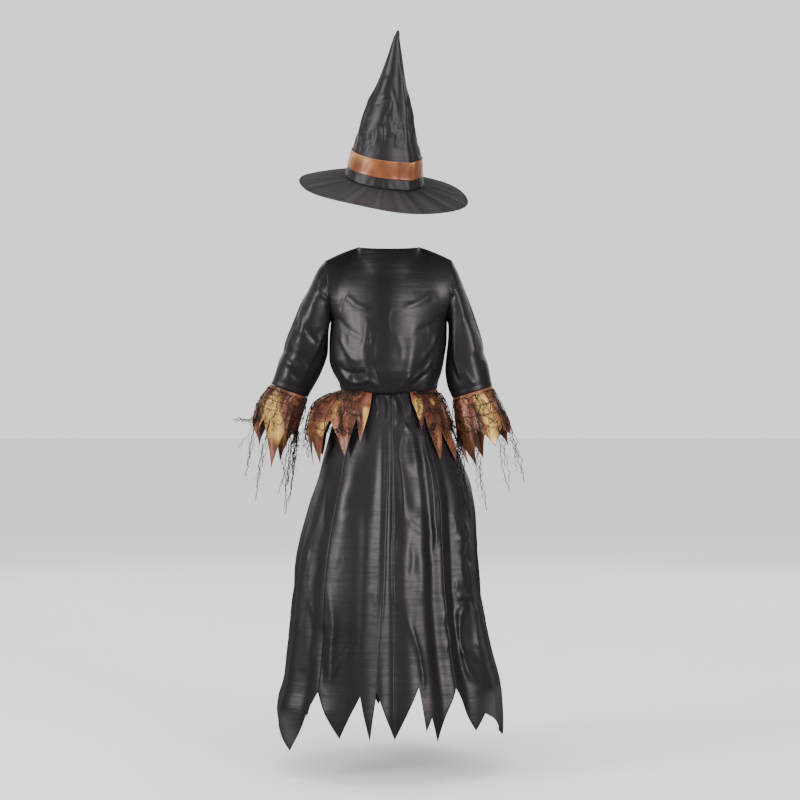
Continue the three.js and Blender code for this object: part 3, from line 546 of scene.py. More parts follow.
# Square threads along smooth lines, joined in one mesh: a ring of four points round each point of a line,
# square to the line's run and to one slanted direction that no line follows, and thinner at both ends
threadForm = {"slanted": (0.31, 0.17, 0.93), "corners": (45, 135, 225, 315), "tip": 0.45}


def threadPoints(lines, thickness):
    allPoints = []
    allQuads = []
    count = 0
    for line, thick in zip(lines, np.broadcast_to(thickness, len(lines))):
        line = np.asarray(line, float)
        tangent = unit(np.gradient(line, axis=0))
        aside = unit(np.cross(tangent, threadForm["slanted"]))
        upward = np.cross(aside, tangent)
        turns = np.radians(threadForm["corners"])
        ring = aside[:, None] * np.cos(turns)[:, None] + upward[:, None] * np.sin(turns)[:, None]
        taper = np.ones(len(line))
        taper[0] = taper[-1] = threadForm["tip"]
        points = line[:, None] + ring * (thick / 2 * taper)[:, None, None]
        steps = np.arange(len(line) - 1)[:, None] * 4
        k = np.arange(4)
        quads = np.stack([steps + k, steps + (k + 1) % 4, steps + 4 + (k + 1) % 4, steps + 4 + k], -1)
        ends = np.array([[3, 2, 1, 0], [0, 1, 2, 3]]) + [[0], [(len(line) - 1) * 4]]
        allPoints.append(points.reshape(-1, 3))
        allQuads.append(np.concatenate([quads.reshape(-1, 4), ends])[:, ::-1] + count)
        count += len(line) * 4
    return np.concatenate(allPoints), np.concatenate(allQuads)


def threadPiece(name, lines, thickness, material):
    points, quads = threadPoints(lines, thickness)
    return putMesh(name, points, quads, material)


# Stitches along a line on the cloth: short threads through a start, a middle and an end, raised off the
# cloth in the middle and dipped into it at both ends
sewing = {"pitch": 3.2, "length": 2.3, "thick": 0.55, "start": 0.4, "raised": (-0.1, 0.3, -0.1), "lines": []}


def sewAlong(line, normals):
    length = np.concatenate([[0], np.cumsum(np.linalg.norm(np.diff(line, axis=0), axis=1))])
    starts = np.arange(sewing["start"], length[-1] - sewing["pitch"], sewing["pitch"])
    at = starts[:, None] + np.array([0, 0.5, 1]) * sewing["length"]
    raised = line[None] + normals[None] * np.array(sewing["raised"])[:, None, None]
    stitches = np.zeros(at.shape + (3,))
    for point in range(3):
        for axis in range(3):
            stitches[:, point, axis] = np.interp(at[:, point], length, raised[point, :, axis])
    sewing["lines"] += list(stitches)


# Skirt: eight gores of one surface, from the waist to a hem cut in points
skirt = {
    "wall": 0.9,
    "waist": -262,
    "seam": 0.3,  # left open where pieces meet
    "part": 0.005,  # from a gore's edge to its seam
    "columnStep": 0.6,
    "rows": 118,
    "crowding": 1.1,  # above 1 the rows lie closer at the waist
    "topFade": 0.03,
    "gathers": {"step": 6, "depth": 3.4, "length": 66, "drifts": ((1.2, 7, 0), (0.9, 13, 0.7)),
                "lengths": (0.34, 17, 1.1), "depths": (0.28, 11, 1.9)},
    "groove": {"out": -0.5, "wide": 0.5},
    "pucker": {"out": 0.2, "wide": 1.4, "pitch": 1.9, "drift": 3, "slower": 31},
    "sections": named(("z", "left", "right", "back", "front"), [
        (-262, 94, 94, 76, 76),
        (-282, 99, 99, 85, 83),
        (-312, 107, 109, 102, 96),
        (-346, 117, 120, 118, 108),
        (-406, 133, 146, 138, 126),
        (-444, 142, 160, 149, 136),
        (-484, 154, 168, 158, 144),
        (-584, 181, 175, 176, 162),
        (-684, 192, 184, 190, 178),
        (-784, 202, 204, 202, 192),
        (-844, 211, 222, 211, 200),
        (-886, 223, 227, 217, 206),
        (-970, 226, 231, 220, 210),
    ]),
    "hem": [(-180, -868), (-171, -915), (-162, -838), (-150, -936), (-138, -858), (-129, -918), (-117, -846),
            (-105, -930), (-93, -850), (-81, -946), (-54, -887), (-48, -918), (-36, -832), (-30, -878),
            (-24, -928), (-21, -882), (-18, -908), (-15, -825), (-3, -922), (6, -832), (9, -926), (15, -844),
            (24, -923), (39, -840), (57, -961), (66, -926), (90, -886), (99, -876), (111, -930), (123, -836),
            (132, -944), (141, -876), (150, -920), (162, -842), (174, -928), (180, -868)],
    "sweeps": [  # large folds that run down from the waist: angle, out, spread, from, full
        (5, 3.5, 5, -268, -470), (12, -5, 10, -290, -560), (-1, -2.5, 4, -280, -500),
        (34, 6, 14, -300, -480), (50, -6, 8, -420, -760), (64, 8, 11, -380, -800),
        (-12, 6, 9, -330, -600), (-21, 3.5, 6, -275, -420), (-28, -5, 6, -300, -520),
        (-35, 1.5, 5, -275, -460), (-44, -8, 6, -300, -620), (-60, 8, 10, -420, -740),
        (-76, -5, 6, -480, -800), (-106, 8, 9, -300, -640), (-120, -9, 7, -290, -560),
        (-134, 8, 8, -300, -600), (-149, -9, 7, -280, -520), (-163, 8, 8, -300, -620),
        (180, -10, 7, -280, -560), (165, 7, 7, -300, -600), (152, -8, 6, -290, -540), (136, 9, 9, -300, -620),
        (118, -9, 7, -300, -560), (103, 7, 8, -340, -700),
    ],
    "folds": foldRows("back", [
        (2.6, 3, [(12, -290), (1, -343), (3, -447), (6, -535), (8, -613), (13, -704), (20, -789),
                  (26, -845)], 0.7),
        (3.5, 8, [(-24, -303), (-28, -337), (-20, -383), (-26, -436), (-30, -488), (-26, -520)]),
        (2.5, 5, [(-11, -519), (-11, -581), (-13, -653), (-18, -687)]),
        (-5, 15, [(-50, -400), (-57, -440), (-58, -476), (-60, -516)], 0),
        (2.2, 5, [(-34, -510), (-58, -530), (-87, -544)], 0.7, 0.5),
        (2.4, 12, [(-22, -560), (-26, -620), (-24, -690)], 0),
        (2.4, 13, [(-64, -570), (-66, -620), (-58, -680)], 0),
        (-1.6, 7, [(-43, -548), (-48, -590), (-40, -626)], 0),
        (3.2, 6, [(-31, -680), (-54, -748), (-63, -795), (-67, -841)]),
        (3.2, 5, [(-72, -337), (-69, -372), (-81, -425), (-86, -473), (-88, -516), (-91, -551),
                  (-83, -599)]),
        (1.8, 2.6, [(-98, -391), (-108, -478), (-115, -583), (-116, -655), (-117, -727),
                    (-119, -824)], 0.8),
        (3, 19, [(58, -379), (72, -438), (84, -476), (84, -515), (78, -580)], 0),
        (-2, 6, [(112, -400), (124, -480), (128, -560)], 0.3),
        (5, 15, [(124, -596), (143, -679), (151, -726), (153, -775), (160, -852)], 0.1),
        (3.2, 8, [(122, -612), (105, -703), (107, -746), (109, -797), (114, -843)]),
        (-3.5, 9, [(126, -700), (128, -767), (126, -839)]),
        (-2.5, 12, [(50, -420), (44, -531), (46, -644), (50, -739), (54, -850)], 0.1),
        (2.8, 6, [(-135, -520), (-139, -562), (-141, -620), (-149, -655)]),
        (2.8, 5, [(-128, -664), (-145, -662), (-164, -668)]),
        (5, 7, [(-156, -672), (-139, -696), (-135, -732), (-141, -772), (-156, -812), (-188, -832)]),
        (4, 6, [(-150, -640), (-168, -700), (-172, -760), (-186, -800)]),
        (3.5, 5, [(-134, -500), (-152, -540), (-150, -600), (-166, -650)]),
        (-2.5, 4, [(-134, -576), (-150, -588), (-170, -610)]),
        (3, 5, [(-128, -548), (-146, -556), (-164, -580)], 0.3, 0.4),
        (3.5, 5, [(-126, -706), (-142, -690), (-158, -684)], 0.3, -0.3),
        (-3, 4, [(-130, -678), (-148, -674), (-168, -684)]),
        (3, 5, [(-132, -762), (-150, -776), (-176, -790)]),
        (-2, 3.5, [(-145, -668), (-181, -684)]),
        (2, 3.5, [(-162, -686), (-180, -713), (-194, -752)]),
        (2, 3.5, [(-153, -745), (-177, -763), (-199, -799)]),
        (4, 4, [(-8, -270), (-16, -303), (-7, -340)], 0.6),
        (4, 4, [(-34, -270), (-43, -307), (-30, -330), (-45, -348)], 0.6),
        (-3.5, 3.5, [(-20, -270), (-26, -307), (-20, -344)]),
        (3, 3.5, [(26, -270), (20, -292), (22, -322)], 0.6),
        (-3, 3.5, [(8, -270), (2, -296), (4, -330)]),
        (3, 3.5, [(44, -270), (48, -300), (46, -330)], 0.5),
    ]),
    "hiddenFolds": foldRows("front", [
        (4, 9, [(22, -330), (34, -450), (26, -560), (40, -700)]),
        (-3, 7, [(-12, -420), (-4, -560), (-18, -760)]),
        (4, 10, [(-52, -360), (-70, -520), (-66, -640)]),
        (3, 6, [(-96, -520), (-110, -640), (-104, -800)]),
        (3.5, 8, [(84, -400), (104, -540), (96, -660), (110, -820)]),
        (-3, 6, [(58, -560), (70, -680), (66, -840)]),
        (2.5, 5, [(-20, -640), (-44, -720), (-40, -830)]),
        (-2.5, 5, [(-60, -600), (-30, -622), (6, -615)]),
    ]) + foldRows("left", [
        (3.5, 8, [(10, -420), (-14, -560), (-6, -680)]),
        (-3, 7, [(52, -500), (40, -640), (58, -820)]),
        (3, 6, [(-60, -560), (-48, -700), (-66, -840)]),
        (2.5, 5, [(20, -640), (2, -730), (14, -860)]),
    ]) + foldRows("right", [
        (3.5, 8, [(8, -440), (26, -580), (12, -700)]),
        (-3, 7, [(-44, -480), (-36, -640), (-56, -820)]),
        (3, 6, [(62, -600), (44, -700), (60, -830)]),
        (2.5, 5, [(-10, -650), (10, -740), (-6, -860)]),
    ]),
    # Painted light: the hem's two far corners made paler, as light shows through the thin cloth there
    "paintedLightCorners": foldRows("back", [
        (0.6, 18, [(206, -880), (196, -925), (178, -965)]),
        (0.9, 20, [(-212, -840), (-205, -880), (-204, -945)]),
    ]),
    "crumples": [  # side, low corner, high corner, count, seed, out
        ("back", (-190, -800), (-100, -430), 12, 5, (0.6, 1.6)),
        ("back", (40, -800), (180, -430), 14, 9, (0.4, 1.1)),
        ("left", (-120, -800), (140, -420), 34, 6),
        ("right", (-120, -800), (140, -420), 34, 7),
        ("front", (-150, -800), (150, -400), 40, 8),
    ],
    "gores": named(("name", "from", "to", "flat", "area"), [
        ("skirt_back_left", -3, 39, (0.19, 0.68), 0.085),
        ("skirt_side_back_left", 39, 90, (0.22, 0.72), 0.1),
        ("skirt_side_front_left", 90, 141, (0.22, 0.70), 0.1),
        ("skirt_front_left", 141, 180, (0.18, 0.69), 0.08),
        ("skirt_front_right", 180, 222, (0.19, 0.69), 0.085),
        ("skirt_side_front_right", 222, 267, (0.21, 0.69), 0.09),
        ("skirt_side_back_right", 267, 324, (0.25, 0.70), 0.115),
        ("skirt_back_right", 324, 357, (0.16, 0.68), 0.07),
    ]),
}


# Skirt surface at an angle and a height: the section, pushed out by each sweep as a soft bump round its
# angle that grows from its start, and drawn in by gathers at the waist. A gather is a cosine of the angle
# that fades downwards, and slow sines of the angle make its width, depth and length uneven.
def skirtSurface(angle, z):
    out = np.zeros(np.broadcast(angle, z).shape)
    for at, size, spread, start, full in skirt["sweeps"]:
        out = out + size * softStep((z - start) / (full - start)) * softBump(wrapAngle(angle - at) / spread)
    turn = np.radians(angle)
    gathers = skirt["gathers"]
    phase = 2 * math.pi * angle / gathers["step"]
    for size, count, shift in gathers["drifts"]:
        phase = phase + size * np.sin(count * turn + shift)
    length = gathers["length"] * uneven(turn, *gathers["lengths"])
    depth = gathers["depth"] * uneven(turn, *gathers["depths"])
    fading = softStep(1 - (skirt["waist"] - z) / length)
    out = out - depth * (0.5 - 0.5 * np.cos(phase)) * fading
    return movedOut(onSection(np.broadcast_to(angle, out.shape), throughRows(skirt["sections"], "z", z)), out)


# A cut edge: straight lines between its points, from the place round the piece to the height or reach
def cutEdge(points, at):
    return np.interp(at, [place for place, _ in points], [value for _, value in points])


# Skirt grid: rows from the waist to the hem at each angle, raised by the folds along the normals, with a
# groove and a sine of fine puckers along each seam
def makeSkirt():
    step = skirt["columnStep"]
    start = skirt["gores"][0]["from"]
    angles = np.arange(0, 360, step) + start
    share = np.linspace(0, 1, skirt["rows"])[:, None] ** skirt["crowding"]
    top = skirt["waist"] - skirt["seam"]
    hem = cutEdge(skirt["hem"], wrapAngle(angles))
    z = top + (hem - top) * share
    points = skirtSurface(np.broadcast_to(angles, z.shape), z)
    inside = points * [0, 0, 1]
    normals = gridNormals(points, inside, wrapped=True)
    folds = skirt["folds"] + skirt["hiddenFolds"] + crumples(skirt["crumples"])
    seams = np.array([gore["from"] for gore in skirt["gores"]])
    off = np.abs(wrapAngle(angles[:, None] - seams)).min(1)
    groove, pucker = skirt["groove"], skirt["pucker"]
    wave = np.sin(z / pucker["pitch"] + pucker["drift"] * np.sin(z / pucker["slower"]))
    height = foldHeight(points, normals, folds) + groove["out"] * np.exp(-(off / groove["wide"]) ** 2)
    height = height + pucker["out"] * np.exp(-(off / pucker["wide"]) ** 2) * wave
    height = height * softStep(share / skirt["topFade"])
    points = points + normals * height[..., None]
    # Painted light at the hem's corners
    pale = np.clip(foldHeight(points, normals, skirt["paintedLightCorners"]), 0, 1)
    fromEdge = (1 - share) * (top - hem)
    for gore in skirt["gores"]:
        first = round((gore["from"] - start) / step)
        last = round((gore["to"] - start) / step)
        columns = np.arange(first, last + 1) % len(angles)
        outer = points[:, columns].copy()
        for edge, beside in ((0, 1), (-1, -2)):
            outer[:, edge] += unit(outer[:, beside] - outer[:, edge]) * skirt["part"]
        marks = {"fromEdge": fromEdge[:, columns] + 0 * outer[..., 0], "pale": pale[:, columns]}
        piece = clothShell(gore["name"] + "_satin", outer, outer * [0, 0, 1], skirt["wall"], blackSatin,
                           marks=marks)
        declare(piece, gore["name"])


makeSkirt()
print("skirt made")


# Armhole, the same oval on both sides, in the plane of the shoulder and underarm points
armhole = {"topX": 124, "topZ": -4, "footX": 116, "footZ": -125, "halfDepth": 46}


# Armhole point: between its top and foot by the turn's cosine, and out to the back by its sine
def armholePoint(turn, left, back):
    c = np.cos(np.radians(turn))
    s = np.sin(np.radians(turn))
    x = (armhole["topX"] + armhole["footX"]) / 2 + (armhole["topX"] - armhole["footX"]) / 2 * c
    z = (armhole["topZ"] + armhole["footZ"]) / 2 + (armhole["topZ"] - armhole["footZ"]) / 2 * c
    return np.stack(np.broadcast_arrays(left * x, back * armhole["halfDepth"] * s, z), -1)


# Bodice: a back and a front panel, each from the waist over the blousing to the shoulders
bodice = {
    "wall": 0.9,
    "armRow": 0.56,
    "neckShare": 0.46,
    "pull": 3,
    "mean": {"top": 0.05, "below": 0.24, "over": 0.5, "side": 0.3, "steps": 25},
    "sag": {"down": 11, "place": 0.075, "spread": 0.09, "depths": (0.12, 9)},
    "fades": {"side": 0.06, "foot": 0.05, "top": 0.06},
    "gathers": {"out": 1.3, "waves": (47, 2, 13), "depths": (0.3, 29), "foot": 0.02,
                "reach": {"mean": 0.17, "more": 0.06, "count": 37}},
    "neckHem": {"out": 0.7, "from": 0.965, "soft": 0.008, "stitched": 0.945, "end": 0.02},
    "flat": (0.34, 0.30),
    "area": 0.088,
    "columns": 141,
    "rows": 93,
    "neck": {"x": 60, "z": 22, "back": 52, "front": 60, "backDip": 8, "frontDip": 42},
    "sections": named(("z", "left", "right", "back", "front"), [
        (-262, 94, 94, 76, 76),
        (-260.5, 97, 96, 88, 84),
        (-247, 101, 98.5, 99, 92),
        (-228, 112, 105, 104, 96),
        (-204, 119.5, 110, 104, 96),
        (-165, 119.2, 115.4, 98, 92),
        (-125, 116, 116, 93, 88),
    ]),
    "sweeps": [(0.78, 0.5, 5, 0.11), (0.56, 0.36, -4, 0.1), (0.3, 0.2, 4, 0.1), (-0.3, -0.2, 4, 0.1),
               (-0.56, -0.36, -4, 0.1), (-0.78, -0.5, 5, 0.11)],  # place above, place below, out, spread
    "folds": foldRows("back", [
        (3.5, 5, [(104, -222), (95, -233), (74, -247), (56, -250), (38, -245), (24, -257), (17, -264)]),
        (-3, 6, [(108, -206), (85, -228), (60, -232), (36, -228)]),
        (-3, 4, [(29, -212), (17, -250), (13, -264)]),
        (3, 4.5, [(-92, -196), (-70, -226), (-51, -240), (-38, -256)]),
        (2.5, 3.5, [(-49, -228), (-34, -245), (-26, -256), (-19, -264)]),
        (-3, 4, [(-80, -226), (-57, -246), (-41, -262)]),
        (2.5, 5, [(98, -150), (84, -186), (62, -214)]),
        (2.5, 5, [(-96, -146), (-84, -180), (-62, -208)]),
        (-2, 5, [(104, -118), (80, -146), (44, -168)]),
        (-2, 5, [(-104, -116), (-78, -140), (-40, -158)]),
        (2, 6, [(92, -70), (66, -96), (30, -112)]),
        (2, 6, [(-92, -66), (-62, -92), (-24, -106)]),
    ]) + foldRows("front", [
        (3, 5, [(90, -205), (66, -235), (34, -248), (10, -258)]),
        (3, 5, [(-90, -200), (-60, -232), (-30, -246), (-8, -258)]),
        (-3, 5, [(100, -180), (70, -214), (40, -228)]),
        (-3, 5, [(-100, -176), (-72, -210), (-38, -226)]),
        (2.5, 6, [(98, -120), (70, -150), (30, -170)]),
        (2.5, 6, [(-98, -120), (-66, -146), (-26, -164)]),
        (2, 5, [(10, -90), (2, -150), (12, -210)]),
    ]),
    "crumples": {
        "bodice_back": ("back", (-90, -230), (90, -60), 26, 12, (0.4, 1.1)),
        "bodice_front": ("front", (-90, -230), (90, -60), 26, 10, (0.4, 1.1)),
    },
}


# Upper edge at s across: the neck's oval by sine and cosine of s, and outside it the shoulder, which runs
# straight out and falls a little faster at first than at the armhole
def shoulderAndNeck(s, back):
    neck = bodice["neck"]
    size = np.abs(s)
    t = np.clip((size - bodice["neckShare"]) / (1 - bodice["neckShare"]), 0, 1)
    shoulder = np.stack([np.sign(s) * (neck["x"] + (armhole["topX"] - neck["x"]) * t), 0 * s,
                         neck["z"] + (armhole["topZ"] - neck["z"]) * (0.75 * t + 0.25 * t * t)], -1)
    turn = s / bodice["neckShare"] * math.pi / 2
    depth = neck["back"] if back > 0 else -neck["front"]
    dip = neck["backDip"] if back > 0 else neck["frontDip"]
    ring = np.stack([neck["x"] * np.sin(turn), depth * np.cos(turn), neck["z"] - dip * np.cos(turn)], -1)
    return np.where((size >= bodice["neckShare"])[..., None], shoulder, ring)


# Bodice panel at s across and v up: sections up to the underarm, then a straight blend of the last section
# and the shoulder line, whose two sides bend on to the armholes. The shoulder line is a mean over a span
# that narrows upwards, so the neck's corners soften below it. Sweeps push it out as soft bumps across, and
# the blousing hangs down as a soft bump just above the waist.
def bodiceSurface(s, v, back):
    angle = 90 * s if back > 0 else 180 - 90 * s
    arm = bodice["armRow"]
    sections = bodice["sections"]
    heights = [{"place": i, "z": row["z"]} for i, row in enumerate(sections)]
    z = throughRows(heights, "place", np.clip(v / arm, 0, 1) * (len(sections) - 1))["z"]
    lower = onSection(angle, throughRows(sections, "z", z))
    t = np.clip((v - arm) / (1 - arm), 0, 1)[..., None]
    foot = onSection(angle, {key: np.full(s.shape, value) for key, value in sections[-1].items()})
    mean = bodice["mean"]
    span = mean["top"] + mean["below"] * softStep((1 - t[..., 0]) / mean["over"])
    span = span * softStep((1 - np.abs(s)) / mean["side"])
    shifts = np.linspace(-1, 1, mean["steps"])
    top = sum(shoulderAndNeck(s + span * shift, back) for shift in shifts) / len(shifts)
    upper = foot * (1 - t) + top * t
    turn = 180 * (1 - t[..., 0])
    for left in (1, -1):
        weight = (((1 + left * s) / 2) ** bodice["pull"])[..., None]
        upper = upper + weight * (armholePoint(turn, left, back) - armholePoint(180, left, back) * (1 - t)
                                  - armholePoint(0, left, back) * t)
    points = np.where((v <= arm)[..., None], lower, upper)
    reach = np.clip(v / arm, 0, 1.2)
    fade = softStep(v / 0.12) * softStep((1.1 - reach) / 0.5) * (1 - s * s)
    for side, run, out, spread in bodice["sweeps"]:
        points[..., 1] += back * out * softBump((s - run - (side - run) * reach) / spread) * fade
    sag = bodice["sag"]
    hang = sag["down"] * softBump((v - sag["place"]) / sag["spread"]) * softStep(v / 0.05)
    points[..., 2] -= hang * (1 - s * s) ** 1.5 * uneven(s, *sag["depths"], back)
    points[..., 1] += back * skirt["seam"] / 2
    return points


# Bodice panels: the folds, a fringe of small gathers above the waist, which is a sine across of uneven
# depth and height, and a raised hem round the neck with its row of stitches
def makeBodice():
    s, v = np.meshgrid(np.linspace(-1, 1, bodice["columns"]), np.linspace(0, 1, bodice["rows"]))
    fades, gathers, hem = bodice["fades"], bodice["gathers"], bodice["neckHem"]
    reach = gathers["reach"]["mean"] + gathers["reach"]["more"] * np.sin(s * gathers["reach"]["count"])
    gather = unevenSine(s, *gathers["waves"]) * uneven(s, *gathers["depths"])
    gather = gathers["out"] * gather * besideSeam(v, reach, gathers["foot"])
    edges = softStep((1 - np.abs(s)) / fades["side"]) * fadeEnds(v, fades["foot"], fades["top"])
    atNeck = np.abs(s) < bodice["neckShare"]
    for name, back in (("bodice_back", 1), ("bodice_front", -1)):
        points = bodiceSurface(s, v, back)
        inside = np.stack([points[..., 0] * 0.4, 0 * s, np.minimum(points[..., 2], -60)], -1)
        normals = gridNormals(points, inside)
        height = foldHeight(points, normals, bodice["folds"] + crumples([bodice["crumples"][name]])) * edges
        height += gather + atNeck * hemRise(v, hem)
        points = points + normals * height[..., None]
        neckRow = rowAt(v, hem["stitched"])
        neckColumns = np.flatnonzero(np.abs(s[0]) < bodice["neckShare"] - hem["end"])
        sewAlong(points[neckRow, neckColumns], normals[neckRow, neckColumns])
        piece = clothShell(name + "_satin", points, inside, bodice["wall"], blackSatin,
                           marks=plainMarks(s.shape))
        declare(piece, name)


makeBodice()
print("bodice made")


# A tube of cloth through sections that give its outer and inner edge, half its depth and its middle's Y.
# Turn 0 is the outer edge, 90 the back; the ring is half the edges' distance times cosine, depth times sine.
def tubeSurface(rows, turn, place, out=0):
    numbered = [{**row, "place": i / (len(rows) - 1)} for i, row in enumerate(rows)]
    row = throughRows(numbered, "place", place)
    outer = np.stack([row["outerX"], row["y"], row["outerZ"]], -1)
    inner = np.stack([row["innerX"], row["y"], row["innerZ"]], -1)
    middle = (outer + inner) / 2
    half = (outer - inner) / 2
    size = np.linalg.norm(half, axis=-1)
    c = np.cos(np.radians(turn))
    s = np.sin(np.radians(turn))
    points = middle + half * ((1 + out / size) * c)[..., None]
    points[..., 1] += (row["depth"] + out) * s
    return points, middle


tubeColumns = ("outerX", "outerZ", "innerX", "innerZ", "depth", "y")

# Sleeves: a tube each, from the armhole to a hem below the elbow
sleeves = {
    "wall": 0.9,
    "columns": 108,
    "rows": 84,
    "cap": {"out": 0.8, "count": 14, "reach": 0.1, "foot": 0.015},
    "hem": {"out": 0.5, "from": 0.955, "soft": 0.01, "stitched": 0.94},
    "fades": {"form": (0.3, 0.12), "folds": (0.06, 0.04)},
    "flat": (0.31, 0.25),
    "area": 0.06,
    "ridge": {"turn": 70, "out": 3, "spread": 26},
    "elbow": {"place": 0.72, "out": -3.5, "spread": 0.07},
    "sleeve_left": named(tubeColumns, [
        (124, -4, 116, -125, 46, 0), (142, -24, 118.4, -133, 49, 0), (159, -60, 120, -143, 50, 0),
        (174, -92, 121, -156, 50, -1), (189, -128, 121.5, -172, 49, -3), (203, -162, 123, -193, 47, -6),
        (216, -195, 135, -227, 46, -10), (228, -229, 150, -255, 44, -13), (236, -252, 164, -278, 42, -15)]),
    "sleeve_right": named(tubeColumns, [
        (-124, -4, -116, -125, 46, 0), (-137, -28, -118, -133, 49, 0), (-151, -64, -118.5, -144, 50, 1),
        (-162, -98, -118, -158, 50, 3), (-173, -132, -116.5, -176, 49, 6), (-184, -166, -114, -198, 47, 9),
        (-193, -200, -112, -226, 46, 12), (-201, -233, -117, -258, 44, 15),
        (-205, -256, -127, -280, 43, 17)]),
    "folds": {
        "sleeve_left": foldRows("back", [
            (3, 4.5, [(144, -62), (130, -78), (112, -90)]),
            (4, 6.5, [(134, -78), (126, -108), (123, -125), (127, -145), (138, -170), (148, -192),
                      (160, -211), (172, -240), (187, -270)]),
            (-3, 6, [(170, -130), (154, -158), (138, -174)]),
            (3, 8, [(179, -105), (170, -134), (176, -168)]),
            (3, 7, [(214, -186), (200, -209), (184, -223)]),
            (-2.5, 6, [(205, -212), (190, -232), (176, -246)]),
        ]) + foldRows("front", [
            (3.5, 6, [(136, -80), (150, -140), (162, -190), (188, -250)]),
            (-3, 5, [(124, -150), (150, -180), (180, -190)]),
            (3, 5, [(126, -180), (150, -205), (186, -212)]),
        ]) + foldRows("left", [
            (3, 7, [(-10, -50), (8, -110), (-4, -170), (-20, -240)]),
        ]),
        "sleeve_right": foldRows("back", [
            (3.5, 4.5, [(-142, -54), (-117, -79), (-103, -95)]),
            (-3, 4, [(-134, -72), (-115, -93), (-103, -110)]),
            (4, 5.5, [(-122, -88), (-128, -130), (-130, -168), (-132, -203), (-137, -225), (-143, -247),
                      (-160, -264)]),
            (-3, 4.5, [(-122, -205), (-132, -233), (-146, -256)]),
            (2.5, 4.5, [(-142, -216), (-156, -241), (-170, -256)]),
            (2.5, 7, [(-156, -110), (-164, -160), (-174, -210)]),
        ]) + foldRows("front", [
            (3.5, 6, [(-132, -80), (-140, -150), (-150, -200), (-160, -255)]),
            (-3, 5, [(-120, -160), (-150, -185), (-176, -190)]),
            (3, 5, [(-118, -190), (-146, -208), (-180, -210)]),
        ]) + foldRows("right", [
            (3, 7, [(0, -50), (14, -120), (4, -180), (20, -240)]),
        ]),
    },
    "crumples": {  # side, low corner, high corner, count, seed, out, length
        "sleeve_left": [("back", (116, -240), (236, -60), 14, 22, (0.5, 1.2), (15, 40)),
                        ("front", (116, -240), (236, -60), 16, 32, (0.6, 1.4), (15, 45))],
        "sleeve_right": [("back", (-205, -240), (-116, -60), 14, 20, (0.5, 1.2), (15, 40)),
                         ("front", (-205, -240), (-116, -60), 16, 30, (0.6, 1.4), (15, 45))],
    },
}


# Sleeve grid: the tube with a soft ridge along its outer back and a hollow at the elbow's inside, then the
# folds, a cap eased into the armhole as a sine round it, and a raised hem with its row of stitches
def makeSleeve(name):
    rows = sleeves[name]
    left = math.copysign(1, rows[0]["outerX"])
    turn, v = np.meshgrid(np.arange(sleeves["columns"]) * 360 / sleeves["columns"],
                          np.linspace(0, 1, sleeves["rows"]))
    ridge = sleeves["ridge"]
    elbow = sleeves["elbow"]
    out = ridge["out"] * softBump(wrapAngle(turn - ridge["turn"]) / ridge["spread"])
    out = out + (elbow["out"] * softBump((v - elbow["place"]) / elbow["spread"])
                 * np.cos(np.radians(turn / 2)) ** 2)
    points, middle = tubeSurface(rows, turn, v, out * fadeEnds(v, *sleeves["fades"]["form"]))
    points[..., 0] += left * skirt["seam"] * (1 - v)
    normals = gridNormals(points, middle, wrapped=True)
    height = foldHeight(points, normals, sleeves["folds"][name] + crumples(sleeves["crumples"][name]))
    cap = sleeves["cap"]
    eased = np.sin(np.radians(turn * cap["count"])) * besideSeam(v, cap["reach"], cap["foot"])
    height = height * fadeEnds(v, *sleeves["fades"]["folds"]) + cap["out"] * eased
    points = points + normals * (height + hemRise(v, sleeves["hem"]))[..., None]
    hemRow = rowAt(v, sleeves["hem"]["stitched"])
    sewAlong(points[hemRow], normals[hemRow])
    piece = clothShell(name + "_satin", points, middle, sleeves["wall"], blackSatin, wrapped=True,
                       marks=plainMarks(v.shape))
    declare(piece, name)


for sleeveName in ("sleeve_left", "sleeve_right"):
    makeSleeve(sleeveName)
print("sleeves made")


